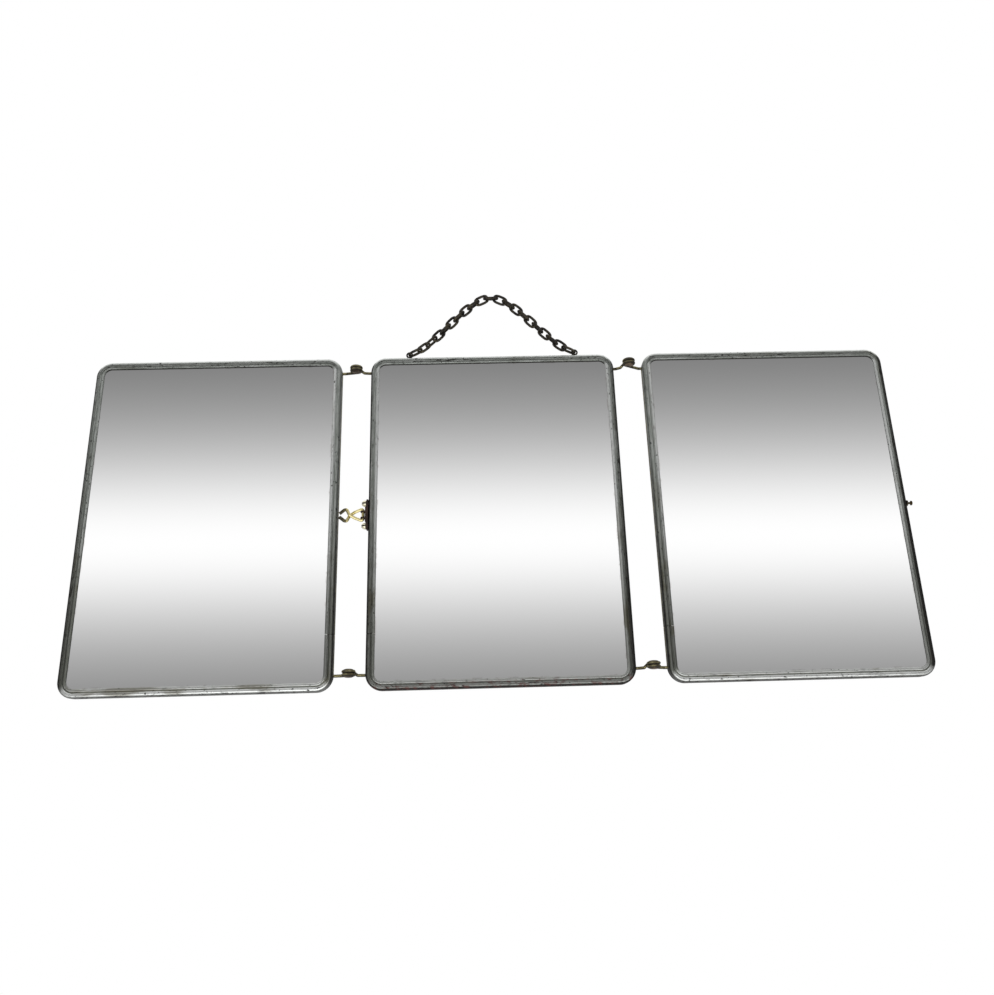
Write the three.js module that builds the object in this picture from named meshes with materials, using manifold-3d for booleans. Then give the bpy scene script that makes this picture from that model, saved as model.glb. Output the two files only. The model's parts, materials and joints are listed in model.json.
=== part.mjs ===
// Folding barber's mirror: three framed mirror panels joined by riveted wire hinges,
// a spring clasp with its catch stud, and a hanging chain.
// Millimetres, +Z up. The mirrors face -Y. The origin is the top of the nail that
// carries the chain, right under the apex link.

import * as THREE from 'three';
import Module from 'manifold-3d';

const wasm = await Module();
wasm.setup();
const { Manifold, Mesh: ManifoldMesh } = wasm;

// ---------------------------------------------------------------- panels
export const PANEL_WIDTH = 210;
export const PANEL_HEIGHT = 283;
export const PANEL_GAP = 25;
export const PANEL_CORNER_RADIUS = 13;
export const PANEL_THICKNESS = 8;
export const CORNER_STEPS = 6;
export const PANEL_TOP_Z = -56;
export const PANEL_MID_Z = PANEL_TOP_Z - PANEL_HEIGHT / 2;

// ---------------------------------------------------------------- frame rim
export const FRONT_Y = -PANEL_THICKNESS / 2;
export const REAR_Y = PANEL_THICKNESS / 2;
export const SHEET = 0.75;
export const BEAD_RADIUS = 2.35;
export const FACE_WIDTH = 7;
export const REAR_LIP_WIDTH = 6.2;
export const ROD_GROOVE_Y = 1.85;
export const ROD_GROOVE_RADIUS = 1.35;
export const ROD_GROOVE_DEPTH = 1.2;
export const SEAM_GAP = 0.4;
export const SEAM_ABOVE_BOTTOM = 44;

// ---------------------------------------------------------------- stack inside the rim
export const GLASS_INSET = 5.1;
export const GLASS_FRONT_Y = -2.9;
export const GLASS_THICKNESS = 3;
export const PAD_INSET = 3.6;
export const PAD_FRONT_Y = 0.4;
export const PAD_THICKNESS = 1.5;
export const BACK_INSET = 3.6;
export const BACK_FRONT_Y = 2.2;
export const BACK_THICKNESS = 0.8;

// ---------------------------------------------------------------- hinges
export const FOLD_CLEARANCE = 0.6;
export const LEFT_AXIS_X = -(PANEL_WIDTH + PANEL_GAP) / 2;
export const LEFT_AXIS_Y = -(PANEL_THICKNESS + FOLD_CLEARANCE) / 2;
export const RIGHT_AXIS_X = (PANEL_WIDTH + PANEL_GAP) / 2;
export const RIGHT_AXIS_Y = -(PANEL_THICKNESS + FOLD_CLEARANCE);
export const ROD_DIAMETER = 2.4;
export const ROD_BEND_RADIUS = 1.7;
export const ROD_STRAIGHT_OUT = 2.4;
export const EYE_RADIUS = 4.2;
export const EYE_WRAP_DEGREES = 286;
export const EYE_FROM_EDGE = 12.3;
export const EYE_PITCH = 2.5;
export const CRANK_LENGTH = 3.1;
export const LEFT_CRANK_START = 3.9;
export const RIGHT_CRANK_START = 6.2;
export const RIVET_RADIUS = 2.75;
export const RIVET_HEAD_RADIUS = 3.8;
export const RIVET_HEAD_HEIGHT = 0.8;
export const RIVET_HALF_LENGTH = 2.6;

// ---------------------------------------------------------------- clasp
export const CLASP_PLATE_LENGTH = 25.6;
export const CLASP_PLATE_FRONT_Y = -4.1;
export const CLASP_PLATE_REAR_Y = 3.1;
export const CLASP_PLATE_THICKNESS = 1.3;
export const CLASP_BLOCK_THICKNESS = 2.4;
export const CLASP_BLOCK_HALF = 6.2;
export const CLASP_PLATE_CORNER = 1.2;
export const CLASP_AXIS_FROM_WALL = 4.5;
export const CLASP_AXIS_Y = -1;
export const CLASP_LUG_INNER_Z = 2;
export const CLASP_LUG_THICKNESS = 1.2;
export const CLASP_LUG_RADIUS = 2.1;
export const CLASP_LUG_HOLE_RADIUS = 1.45;
export const CLASP_WIRE_DIAMETER = 2.5;
export const CLASP_BAR_HALF = 5.3;
export const CLASP_BEND_RADIUS = 1.4;
export const CLASP_CROSSING = 11.1;
export const CLASP_CROSSING_OFFSET = 1.35;
export const CLASP_JAW_HALF = 4.7;
export const CLASP_JAW_NEAR = 13.3;
export const CLASP_JAW_FAR = 15.2;
export const CLASP_REACH = 19.2;
export const CLASP_TIP_HALF = 1.45;
export const SCREW_Z = 9.6;
export const SCREW_Y = -1;
export const SCREW_HEAD_RADIUS = 2.7;
export const SCREW_HEAD_HEIGHT = 4;
export const SCREW_SLOT_WIDTH = 0.9;
export const SCREW_SLOT_DEPTH = 3;
export const SCREW_SHANK_RADIUS = 1.1;
export const SCREW_SHANK_LENGTH = 4;

// ---------------------------------------------------------------- catch stud
export const STUD_Y = -0.8;
export const STUD_NECK_RADIUS = 0.9;
export const STUD_NECK_LENGTH = 3.7;
export const STUD_HEAD_RADIUS = 2;
export const STUD_HEAD_HEIGHT = 1.5;
export const STUD_COLLAR_RADIUS = 2.5;
export const STUD_COLLAR_HEIGHT = 1.2;
export const STUD_TAIL_LENGTH = 3;

// ---------------------------------------------------------------- chain
export const CHAIN_Y = -0.75;
export const CHAIN_LINKS_A_SIDE = 10;
export const LINK_WIRE = 2.3;
export const LINK_WIDTH = 8.4;
// Exponent of the oval that a link follows: 2 is an ellipse, more is squarer.
export const LINK_OVAL = 3;
export const LINK_PLAY = 0.6;
export const NAIL_PLAY = 0.1;
export const ANCHOR_SHARE = 0.343;
export const ANCHOR_WIRE_ABOVE_TOP = 3.3;
export const ARCH_ROUNDING = 0.6;
export const CHAIN_EYE_WIRE = 1.5;
export const CHAIN_EYE_RADIUS = 2.3;
export const CHAIN_EYE_ABOVE_TOP = 3.2;
export const CHAIN_EYE_STEM_INSIDE = 3.2;
export const HOLE_CLEARANCE = 0.25;
// Turn of each link about the chain, in degrees, from the apex link to the eye.
export const LEFT_ROLLS = [20, 18, 5, 26, 4, 20, 2, 10, -10, -16, -4];
export const RIGHT_ROLLS = [20, 16, 5, 26, 6, 24, 8, 21, 11, 12, 0];

const rad = THREE.MathUtils.degToRad;

// ---------------------------------------------------------------- materials
const material = (name, color, metalness, roughness) =>
  new THREE.MeshStandardMaterial({ name, color, metalness, roughness });

// ---------------------------------------------------------------- mesh helpers
function geometryFrom(points, triangles) {
  const geometry = new THREE.BufferGeometry();
  geometry.setAttribute('position', new THREE.Float32BufferAttribute(points.flat(), 3));
  geometry.setIndex(triangles.flat());
  geometry.computeVertexNormals();
  return geometry;
}

function toManifold(geometry) {
  const positions = geometry.getAttribute('position').array;
  const mesh = new ManifoldMesh({
    numProp: 3,
    vertProperties: new Float32Array(positions),
    triVerts: new Uint32Array(geometry.getIndex().array),
  });
  mesh.merge();
  return new Manifold(mesh);
}

function fromManifold(solid) {
  const mesh = solid.getMesh();
  const geometry = new THREE.BufferGeometry();
  geometry.setAttribute('position', new THREE.Float32BufferAttribute(mesh.vertProperties, 3));
  geometry.setIndex(new THREE.Uint32BufferAttribute(mesh.triVerts, 1));
  geometry.computeVertexNormals();
  return geometry;
}

// Joins rings of points into one closed skin. Open runs get a flat cap at each end.
function skin(rings, closed) {
  const size = rings[0].length;
  const points = rings.flat();
  const triangles = [];
  const spans = closed ? rings.length : rings.length - 1;
  for (let i = 0; i < spans; i += 1) {
    const a = i * size;
    const b = ((i + 1) % rings.length) * size;
    for (let j = 0; j < size; j += 1) {
      const k = (j + 1) % size;
      triangles.push([a + j, a + k, b + k], [a + j, b + k, b + j]);
    }
  }
  return { points, triangles, size };
}

function flipIfInside(points, triangles) {
  let volume = 0;
  for (const [a, b, c] of triangles) {
    const p = new THREE.Vector3(...points[a]);
    const q = new THREE.Vector3(...points[b]);
    const r = new THREE.Vector3(...points[c]);
    volume += p.dot(q.cross(r));
  }
  return volume < 0 ? triangles.map(([a, b, c]) => [a, c, b]) : triangles;
}

// Sweeps a flat outline, given point by point for each station, with flat end caps.
function sweepOutline(rings, outline) {
  const { points, triangles, size } = skin(rings, false);
  const contour = outline.map(([x, y]) => new THREE.Vector2(x, y));
  const faces = THREE.ShapeUtils.triangulateShape(contour, []);
  const last = (rings.length - 1) * size;
  const turn = THREE.ShapeUtils.isClockWise(contour) ? -1 : 1;
  for (const [a, b, c] of faces) {
    const [p, q] = turn > 0 ? [b, c] : [c, b];
    triangles.push([a, q, p], [last + a, last + p, last + q]);
  }
  return geometryFrom(points, flipIfInside(points, triangles));
}

// A straight prism along Y over an outline in X and Z.
function prismY(outline, y0, y1) {
  const rings = [y0, y1].map((y) => outline.map(([x, z]) => [x, y, z]));
  return sweepOutline(rings, outline);
}

// A body turned about an axis: profile of [radius, height] from one tip to the other.
function turned(profile, steps, place) {
  const points = [];
  const triangles = [];
  const rows = profile.length;
  for (let i = 1; i < rows - 1; i += 1) {
    for (let j = 0; j < steps; j += 1) {
      const angle = (2 * Math.PI * j) / steps;
      points.push(place(profile[i][0] * Math.cos(angle), profile[i][0] * Math.sin(angle), profile[i][1]));
    }
  }
  const start = points.push(place(0, 0, profile[0][1])) - 1;
  const end = points.push(place(0, 0, profile[rows - 1][1])) - 1;
  for (let j = 0; j < steps; j += 1) {
    const k = (j + 1) % steps;
    triangles.push([start, k, j]);
    for (let i = 0; i < rows - 3; i += 1) {
      const a = i * steps;
      const b = a + steps;
      triangles.push([a + j, a + k, b + k], [a + j, b + k, b + j]);
    }
    triangles.push([end, (rows - 3) * steps + j, (rows - 3) * steps + k]);
  }
  return geometryFrom(points, flipIfInside(points, triangles));
}

// A round wire along a run of points, with its cross-section carried without twist.
function wire(path, radius, sides, closed = false) {
  const count = path.length;
  const rings = [];
  let tangent = null;
  let normal = null;
  for (let i = 0; i < count; i += 1) {
    const before = path[closed ? (i + count - 1) % count : Math.max(i - 1, 0)];
    const after = path[closed ? (i + 1) % count : Math.min(i + 1, count - 1)];
    const next = after.clone().sub(before).normalize();
    if (normal === null) {
      const guide = Math.abs(next.y) < 0.9 ? new THREE.Vector3(0, 1, 0) : new THREE.Vector3(0, 0, 1);
      normal = guide.clone().sub(next.clone().multiplyScalar(guide.dot(next))).normalize();
    } else {
      normal.applyQuaternion(new THREE.Quaternion().setFromUnitVectors(tangent, next));
    }
    tangent = next;
    const side = tangent.clone().cross(normal);
    const ring = [];
    for (let j = 0; j < sides; j += 1) {
      const angle = (2 * Math.PI * (j + 0.5)) / sides;
      const point = path[i].clone();
      point.addScaledVector(normal, radius * Math.cos(angle));
      point.addScaledVector(side, radius * Math.sin(angle));
      ring.push(point.toArray());
    }
    rings.push(ring);
  }
  const { points, triangles, size } = skin(rings, closed);
  if (!closed) {
    const last = (rings.length - 1) * size;
    for (let j = 1; j < size - 1; j += 1) {
      triangles.push([0, j + 1, j], [last, last + j, last + j + 1]);
    }
  }
  return geometryFrom(points, flipIfInside(points, triangles));
}

// Rounds every corner of a run of points with an arc of the given radius.
function rounded(corners, radius, steps) {
  const path = [corners[0].clone()];
  for (let i = 1; i < corners.length - 1; i += 1) {
    const corner = corners[i];
    const into = corner.clone().sub(corners[i - 1]).normalize();
    const out = corners[i + 1].clone().sub(corner).normalize();
    const turn = into.angleTo(out);
    if (turn < 1e-4) continue;
    const cut = radius * Math.tan(turn / 2);
    const first = corner.clone().addScaledVector(into, -cut);
    const inward = out.clone().sub(into).normalize();
    const centre = corner.clone().addScaledVector(inward, radius / Math.cos(turn / 2));
    const axis = into.clone().cross(out).normalize();
    const arm = first.clone().sub(centre);
    for (let k = 0; k <= steps; k += 1) {
      path.push(arm.clone().applyAxisAngle(axis, (turn * k) / steps).add(centre));
    }
  }
  path.push(corners[corners.length - 1].clone());
  return path;
}

// Outline of a panel, inset from its edge, with rounded corners, anticlockwise.
function panelOutline(centreX, inset) {
  const halfWidth = PANEL_WIDTH / 2 - inset;
  const halfHeight = PANEL_HEIGHT / 2 - inset;
  const radius = PANEL_CORNER_RADIUS - inset;
  const outline = [];
  for (let quarter = 0; quarter < 4; quarter += 1) {
    const sx = quarter === 0 || quarter === 3 ? 1 : -1;
    const sz = quarter < 2 ? 1 : -1;
    for (let k = 0; k <= CORNER_STEPS; k += 1) {
      const angle = rad(90 * (quarter + k / CORNER_STEPS));
      outline.push([
        centreX + sx * (halfWidth - radius) + radius * Math.cos(angle),
        PANEL_MID_Z + sz * (halfHeight - radius) + radius * Math.sin(angle),
      ]);
    }
  }
  return outline;
}

// ---------------------------------------------------------------- frame
// Section of the rolled sheet rim as [distance inward from the edge, Y].
function rimSection() {
  const beadY = FRONT_Y + BEAD_RADIUS;
  const inner = BEAD_RADIUS - SHEET;
  const arc = (radius, degrees) => [
    BEAD_RADIUS - radius * Math.cos(rad(degrees)),
    beadY - radius * Math.sin(rad(degrees)),
  ];
  const groove = (degrees) => [
    ROD_GROOVE_DEPTH + ROD_GROOVE_RADIUS * Math.cos(rad(degrees)),
    ROD_GROOVE_Y + ROD_GROOVE_RADIUS * Math.sin(rad(degrees)),
  ];
  return [
    [FACE_WIDTH, -3.2],
    [FACE_WIDTH, -3.45],
    [5.6, FRONT_Y + 0.1],
    [5.1, FRONT_Y + 0.12],
    [4.65, -3.4],
    arc(BEAD_RADIUS, 136),
    arc(BEAD_RADIUS, 112),
    arc(BEAD_RADIUS, 88),
    arc(BEAD_RADIUS, 62),
    arc(BEAD_RADIUS, 38),
    arc(BEAD_RADIUS, 16),
    [0, beadY],
    [0, ROD_GROOVE_Y - ROD_GROOVE_RADIUS],
    groove(-90),
    groove(-42),
    groove(0),
    groove(42),
    groove(90),
    [0, ROD_GROOVE_Y + ROD_GROOVE_RADIUS],
    [0.35, REAR_Y],
    [REAR_LIP_WIDTH, REAR_Y],
    [REAR_LIP_WIDTH, REAR_Y - 0.7],
    [3.25, REAR_Y - 0.7],
    [3.25, 1.4],
    [2.5, 0.2],
    [1.5, -0.25],
    [SHEET, -0.25],
    [SHEET, beadY],
    arc(inner, 45),
    arc(inner, 90),
    [3.5, -2.85],
    [4.55, -2.8],
    [4.9, -3.2],
  ];
}

// The rim runs once round the panel from one side of its butt seam to the other.
function rimStations(seamSide) {
  const corner = PANEL_CORNER_RADIUS;
  const seamZ = PANEL_MID_Z - PANEL_HEIGHT / 2 + SEAM_ABOVE_BOTTOM;
  const start = { nx: seamSide, nz: 0, cx: 0, cz: seamZ + SEAM_GAP / 2 };
  const list = [start];
  for (let quarter = 0; quarter < 4; quarter += 1) {
    const sx = quarter === 0 || quarter === 3 ? 1 : -1;
    const sz = quarter < 2 ? 1 : -1;
    for (let k = 0; k <= CORNER_STEPS; k += 1) {
      const angle = rad(90 * (quarter + k / CORNER_STEPS));
      list.push({
        nx: seamSide * Math.cos(angle),
        nz: Math.sin(angle),
        cx: seamSide * sx * (PANEL_WIDTH / 2 - corner),
        cz: PANEL_MID_Z + sz * (PANEL_HEIGHT / 2 - corner),
      });
    }
  }
  list.push({ ...start, cz: seamZ - SEAM_GAP / 2 });
  return list;
}

function frameGeometry(centreX, seamSide) {
  const section = rimSection();
  const rings = rimStations(seamSide).map(({ nx, nz, cx, cz }, index, all) => {
    const straight = index === 0 || index === all.length - 1;
    const reach = straight ? PANEL_WIDTH / 2 : PANEL_CORNER_RADIUS;
    return section.map(([inset, y]) => [
      centreX + cx + nx * (reach - inset),
      y,
      cz + nz * (reach - inset),
    ]);
  });
  return sweepOutline(rings, section);
}

function cylinderHole(radius, length, place, rotation) {
  const hole = Manifold.cylinder(length, radius, radius, 16, true);
  return hole.rotate(rotation).translate(place);
}

function drilled(geometry, holes) {
  let solid = toManifold(geometry);
  for (const hole of holes) {
    solid = solid.subtract(hole);
  }
  return fromManifold(solid);
}

// ---------------------------------------------------------------- hinge rod
// One U-shaped wire: eye, arm, length along the panel's side, arm, eye.
// `towards` is the X direction from the hinge axis to the panel. Where `crankStart` is
// given, both arms are cranked up there to carry the upper eye of each pair.
function hingeRodGeometry(axisX, axisY, towards, crankStart) {
  const wallX = axisX + (towards * PANEL_GAP) / 2;
  const level = PANEL_HEIGHT / 2 - EYE_FROM_EDGE;
  const rise = crankStart ? EYE_PITCH : 0;
  const kneeOut = PANEL_GAP / 2 - ROD_STRAIGHT_OUT;
  const kneeDepth = ROD_GROOVE_Y - axisY;
  const distance = Math.hypot(kneeOut, kneeDepth);
  const tangentAngle = Math.atan2(kneeDepth, kneeOut) + Math.acos(EYE_RADIUS / distance);
  const grooveX = wallX + towards * ROD_GROOVE_DEPTH;
  const eye = (z) => {
    const steps = 16;
    const points = [];
    for (let i = steps; i >= 0; i -= 1) {
      const angle = tangentAngle + (rad(EYE_WRAP_DEGREES) * i) / steps;
      points.push(new THREE.Vector3(
        axisX + towards * EYE_RADIUS * Math.cos(angle),
        axisY + EYE_RADIUS * Math.sin(angle),
        z,
      ));
    }
    return points;
  };
  const half = (sign) => {
    const z = PANEL_MID_Z + sign * level;
    const loop = eye(z + rise);
    const start = loop[loop.length - 1];
    const knee = new THREE.Vector3(axisX + towards * kneeOut, ROD_GROOVE_Y, z);
    const arm = new THREE.Vector3(knee.x - start.x, knee.y - start.y, 0).normalize();
    const run = [start];
    if (crankStart) {
      run.push(start.clone().addScaledVector(arm, crankStart));
      run.push(start.clone().addScaledVector(arm, crankStart + CRANK_LENGTH).setZ(z));
    }
    run.push(knee, new THREE.Vector3(grooveX, ROD_GROOVE_Y, z));
    return { loop, run };
  };
  const top = half(1);
  const bottom = half(-1);
  const path = [
    ...top.loop.slice(0, -1),
    ...rounded([...top.run, ...bottom.run.reverse()], ROD_BEND_RADIUS, 4),
    ...bottom.loop.slice(0, -1).reverse(),
  ];
  return wire(path, ROD_DIAMETER / 2, 8);
}

function hingeRivetGeometry(axisX, axisY, sign) {
  const z = PANEL_MID_Z + sign * (PANEL_HEIGHT / 2 - EYE_FROM_EDGE) + EYE_PITCH / 2;
  const top = RIVET_HALF_LENGTH + RIVET_HEAD_HEIGHT;
  const head = [
    [RIVET_HEAD_RADIUS * 0.55, top - RIVET_HEAD_HEIGHT * 0.12],
    [RIVET_HEAD_RADIUS * 0.9, top - RIVET_HEAD_HEIGHT * 0.46],
    [RIVET_HEAD_RADIUS, RIVET_HALF_LENGTH + RIVET_HEAD_HEIGHT * 0.23],
    [RIVET_HEAD_RADIUS * 0.95, RIVET_HALF_LENGTH],
    [RIVET_RADIUS, RIVET_HALF_LENGTH],
  ];
  const profile = [
    [0, top],
    ...head,
    ...head.map(([radius, height]) => [radius, -height]).reverse(),
    [0, -top],
  ];
  return turned(profile, 14, (u, v, h) => [axisX + u, axisY + v, z + h]);
}

// ---------------------------------------------------------------- clasp
const CLASP_WALL_X = -PANEL_WIDTH / 2;
const CLASP_AXIS_X = CLASP_WALL_X - CLASP_AXIS_FROM_WALL;
const CLASP_PLATE_X = CLASP_WALL_X - HOLE_CLEARANCE;

function claspPlateGeometry() {
  const corners = [];
  for (const y of [CLASP_PLATE_FRONT_Y + CLASP_PLATE_CORNER, CLASP_PLATE_REAR_Y - CLASP_PLATE_CORNER]) {
    for (const sign of [-1, 1]) {
      const z = PANEL_MID_Z + sign * (CLASP_PLATE_LENGTH / 2 - CLASP_PLATE_CORNER);
      const x = CLASP_PLATE_X - CLASP_PLATE_THICKNESS / 2;
      const post = Manifold.cylinder(CLASP_PLATE_THICKNESS, CLASP_PLATE_CORNER, CLASP_PLATE_CORNER, 12, true);
      corners.push(post.rotate([0, 90, 0]).translate([x, y, z]));
    }
  }
  let plate = Manifold.hull(corners);
  const block = Manifold.cube(
    [CLASP_BLOCK_THICKNESS, CLASP_PLATE_REAR_Y - CLASP_PLATE_FRONT_Y, CLASP_BLOCK_HALF * 2], true);
  const blockY = (CLASP_PLATE_REAR_Y + CLASP_PLATE_FRONT_Y) / 2;
  plate = plate.add(block.translate([CLASP_PLATE_X - CLASP_BLOCK_THICKNESS / 2, blockY, PANEL_MID_Z]));
  for (const sign of [-1, 1]) {
    const z = PANEL_MID_Z + sign * (CLASP_LUG_INNER_Z + CLASP_LUG_THICKNESS / 2);
    const round = Manifold.cylinder(CLASP_LUG_THICKNESS, CLASP_LUG_RADIUS, CLASP_LUG_RADIUS, 18, true);
    const root = Manifold.cube([0.4, CLASP_LUG_RADIUS * 2.4, CLASP_LUG_THICKNESS], true);
    const lug = Manifold.hull([
      round.translate([CLASP_AXIS_X, CLASP_AXIS_Y, z]),
      root.translate([CLASP_PLATE_X - CLASP_BLOCK_THICKNESS / 2, CLASP_AXIS_Y, z]),
    ]);
    plate = plate.add(lug);
  }
  const bore = cylinderHole(CLASP_LUG_HOLE_RADIUS, CLASP_BLOCK_HALF * 2 + 2,
    [CLASP_AXIS_X, CLASP_AXIS_Y, PANEL_MID_Z], [0, 0, 0]);
  plate = plate.subtract(bore);
  for (const sign of [-1, 1]) {
    plate = plate.subtract(screwHole(sign));
  }
  return fromManifold(plate);
}

function screwHole(sign) {
  const radius = SCREW_SHANK_RADIUS + HOLE_CLEARANCE;
  return cylinderHole(radius, 5, [CLASP_WALL_X, SCREW_Y, PANEL_MID_Z + sign * SCREW_Z], [0, 90, 0]);
}

function claspScrewGeometry(sign) {
  const seat = CLASP_PLATE_X - CLASP_PLATE_THICKNESS - HOLE_CLEARANCE;
  const z = PANEL_MID_Z + sign * SCREW_Z;
  const head = [];
  const steps = 6;
  for (let i = 0; i <= steps; i += 1) {
    const angle = rad(84 - (84 * i) / steps);
    head.push([
      SCREW_HEAD_RADIUS * Math.cos(angle),
      0.5 + (SCREW_HEAD_HEIGHT - 0.5) * Math.sin(angle),
    ]);
  }
  const tip = -(CLASP_PLATE_THICKNESS + SCREW_SHANK_LENGTH);
  const profile = [
    [0, SCREW_HEAD_HEIGHT],
    ...head,
    [SCREW_HEAD_RADIUS, 0],
    [SCREW_SHANK_RADIUS, 0],
    [SCREW_SHANK_RADIUS, tip + 0.6],
    [SCREW_SHANK_RADIUS - 0.5, tip],
    [0, tip],
  ];
  const body = turned(profile, 18, (u, v, h) => [seat - h, SCREW_Y + u, z + v]);
  const slot = Manifold.cube([SCREW_SLOT_DEPTH * 2, SCREW_HEAD_RADIUS * 2.4, SCREW_SLOT_WIDTH], true);
  return drilled(body, [slot.translate([seat - SCREW_HEAD_HEIGHT, SCREW_Y, z])]);
}

// The clasp wire: two arms that leave the bar's ends, cross, and close as a jaw.
function claspWireGeometry() {
  const arm = (sign) => {
    const at = (reach, z, offset) => new THREE.Vector3(
      CLASP_AXIS_X - reach,
      CLASP_AXIS_Y + sign * offset,
      PANEL_MID_Z + sign * z,
    );
    return [
      at(CLASP_REACH, -CLASP_TIP_HALF, 0),
      at(CLASP_JAW_FAR, -CLASP_JAW_HALF, 0),
      at(CLASP_JAW_NEAR, -CLASP_JAW_HALF, 0.45),
      at(CLASP_CROSSING, 0, CLASP_CROSSING_OFFSET),
      at(CLASP_CROSSING - 4.5, 2.7, 0.5),
      at(0, CLASP_BAR_HALF, 0),
    ];
  };
  const upper = arm(1);
  const lower = arm(-1).reverse();
  const path = rounded([...upper, ...lower], CLASP_BEND_RADIUS, 3);
  return wire(path, CLASP_WIRE_DIAMETER / 2, 8);
}

// ---------------------------------------------------------------- catch stud
const STUD_WALL_X = PANEL_WIDTH * 1.5 + PANEL_GAP;

function catchStudGeometry() {
  const neck = STUD_COLLAR_HEIGHT + STUD_NECK_LENGTH - 1.2;
  const head = [];
  for (const degrees of [78, 52, 26, 0, -30]) {
    head.push([
      STUD_HEAD_RADIUS * Math.cos(rad(degrees)),
      neck + STUD_HEAD_HEIGHT * 0.4 + STUD_HEAD_HEIGHT * 0.6 * Math.sin(rad(degrees)),
    ]);
  }
  const profile = [
    [0, neck + STUD_HEAD_HEIGHT],
    ...head,
    [STUD_NECK_RADIUS, neck],
    [STUD_NECK_RADIUS, STUD_COLLAR_HEIGHT],
    [STUD_COLLAR_RADIUS, STUD_COLLAR_HEIGHT - 0.15],
    [STUD_COLLAR_RADIUS, 0],
    [STUD_NECK_RADIUS, 0],
    [STUD_NECK_RADIUS, -STUD_TAIL_LENGTH],
    [0, -STUD_TAIL_LENGTH],
  ];
  const x = STUD_WALL_X + HOLE_CLEARANCE;
  return turned(profile, 16, (u, v, h) => [x + h, STUD_Y + u, PANEL_MID_Z + v]);
}

function studHole() {
  return cylinderHole(STUD_NECK_RADIUS + HOLE_CLEARANCE, 5,
    [STUD_WALL_X, STUD_Y, PANEL_MID_Z], [0, 90, 0]);
}

// ---------------------------------------------------------------- chain
// The apex link leans, and its lower bar rests on the nail's top at the origin.
const APEX_LEAN = ((LINK_WIDTH - LINK_WIRE) / 2) * Math.sin(rad(LEFT_ROLLS[0]));
const APEX_Z = LINK_WIRE / 2 + NAIL_PLAY + APEX_LEAN;
const ANCHOR_X = PANEL_WIDTH * ANCHOR_SHARE;
const ANCHOR_Z = PANEL_TOP_Z + ANCHOR_WIRE_ABOVE_TOP;

// The chain's line on one side, from the end of the level apex link (share 1) down to
// the eye in the frame (share 0).
function archPoint(share, pitch) {
  const eased = share * share * (3 - 2 * share);
  const rise = (1 - ARCH_ROUNDING) * share + ARCH_ROUNDING * eased;
  const x = ANCHOR_X + (pitch / 2 - ANCHOR_X) * share;
  return new THREE.Vector2(x, ANCHOR_Z + (APEX_Z - ANCHOR_Z) * rise);
}

function stepAlongArch(share, pitch, length) {
  const from = archPoint(share, pitch);
  let low = -0.3;
  let high = share;
  for (let i = 0; i < 48; i += 1) {
    const middle = (low + high) / 2;
    if (archPoint(middle, pitch).distanceTo(from) > length) low = middle;
    else high = middle;
  }
  return (low + high) / 2;
}

// Finds the pitch at which the last link's end wire lies exactly in the chain eye.
function chainJoints() {
  const endReach = (LINK_PLAY + LINK_WIRE) / 2;
  let low = 4;
  let high = 12;
  let pitch = 0;
  let shares = [];
  for (let round = 0; round < 48; round += 1) {
    pitch = (low + high) / 2;
    shares = [1];
    for (let i = 1; i <= CHAIN_LINKS_A_SIDE; i += 1) {
      const length = i === CHAIN_LINKS_A_SIDE ? pitch + endReach : pitch;
      shares.push(stepAlongArch(shares[i - 1], pitch, length));
    }
    if (shares[CHAIN_LINKS_A_SIDE] > 0) low = pitch;
    else high = pitch;
  }
  const joints = shares.map((share) => archPoint(share, pitch));
  const lastLink = joints[CHAIN_LINKS_A_SIDE].clone().sub(joints[CHAIN_LINKS_A_SIDE - 1]);
  const lastJoint = joints[CHAIN_LINKS_A_SIDE - 1].clone().addScaledVector(lastLink.normalize(), pitch);
  joints[CHAIN_LINKS_A_SIDE] = lastJoint;
  return { joints, pitch };
}

function linkPlaces() {
  const { joints, pitch } = chainJoints();
  const apex = { centre: new THREE.Vector2(0, APEX_Z), along: new THREE.Vector2(1, 0), index: 0 };
  const right = joints.slice(1).map((joint, order) => ({
    centre: joint.clone().add(joints[order]).multiplyScalar(0.5),
    along: joint.clone().sub(joints[order]).normalize(),
    index: order + 1,
  }));
  const left = right.map(({ centre, along, index }) => ({
    centre: new THREE.Vector2(-centre.x, centre.y),
    along: new THREE.Vector2(along.x, -along.y),
    index,
    leftSide: true,
  })).reverse();
  return { places: [...left, apex, ...right], pitch };
}

function chainLinkGeometry({ centre, along, index, leftSide }, pitch) {
  const halfLength = (pitch + LINK_PLAY + LINK_WIRE) / 2;
  const halfWidth = (LINK_WIDTH - LINK_WIRE) / 2;
  const forward = new THREE.Vector3(along.x, 0, along.y);
  const edgeOn = index % 2 === 0;
  const across = edgeOn ? new THREE.Vector3(0, 1, 0) : new THREE.Vector3(-along.y, 0, along.x);
  across.applyAxisAngle(forward, rad(leftSide ? LEFT_ROLLS[index] : RIGHT_ROLLS[index]));
  const middle = new THREE.Vector3(centre.x, CHAIN_Y, centre.y);
  const path = [];
  const steps = 16;
  const squared = (value) => Math.sign(value) * Math.abs(value) ** (2 / LINK_OVAL);
  for (let i = 0; i < steps; i += 1) {
    const angle = (2 * Math.PI * (i + 0.5)) / steps;
    const u = halfLength * squared(Math.cos(angle));
    const v = halfWidth * squared(Math.sin(angle));
    path.push(middle.clone().addScaledVector(forward, u).addScaledVector(across, v));
  }
  return wire(path, LINK_WIRE / 2, 6, true);
}

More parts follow.
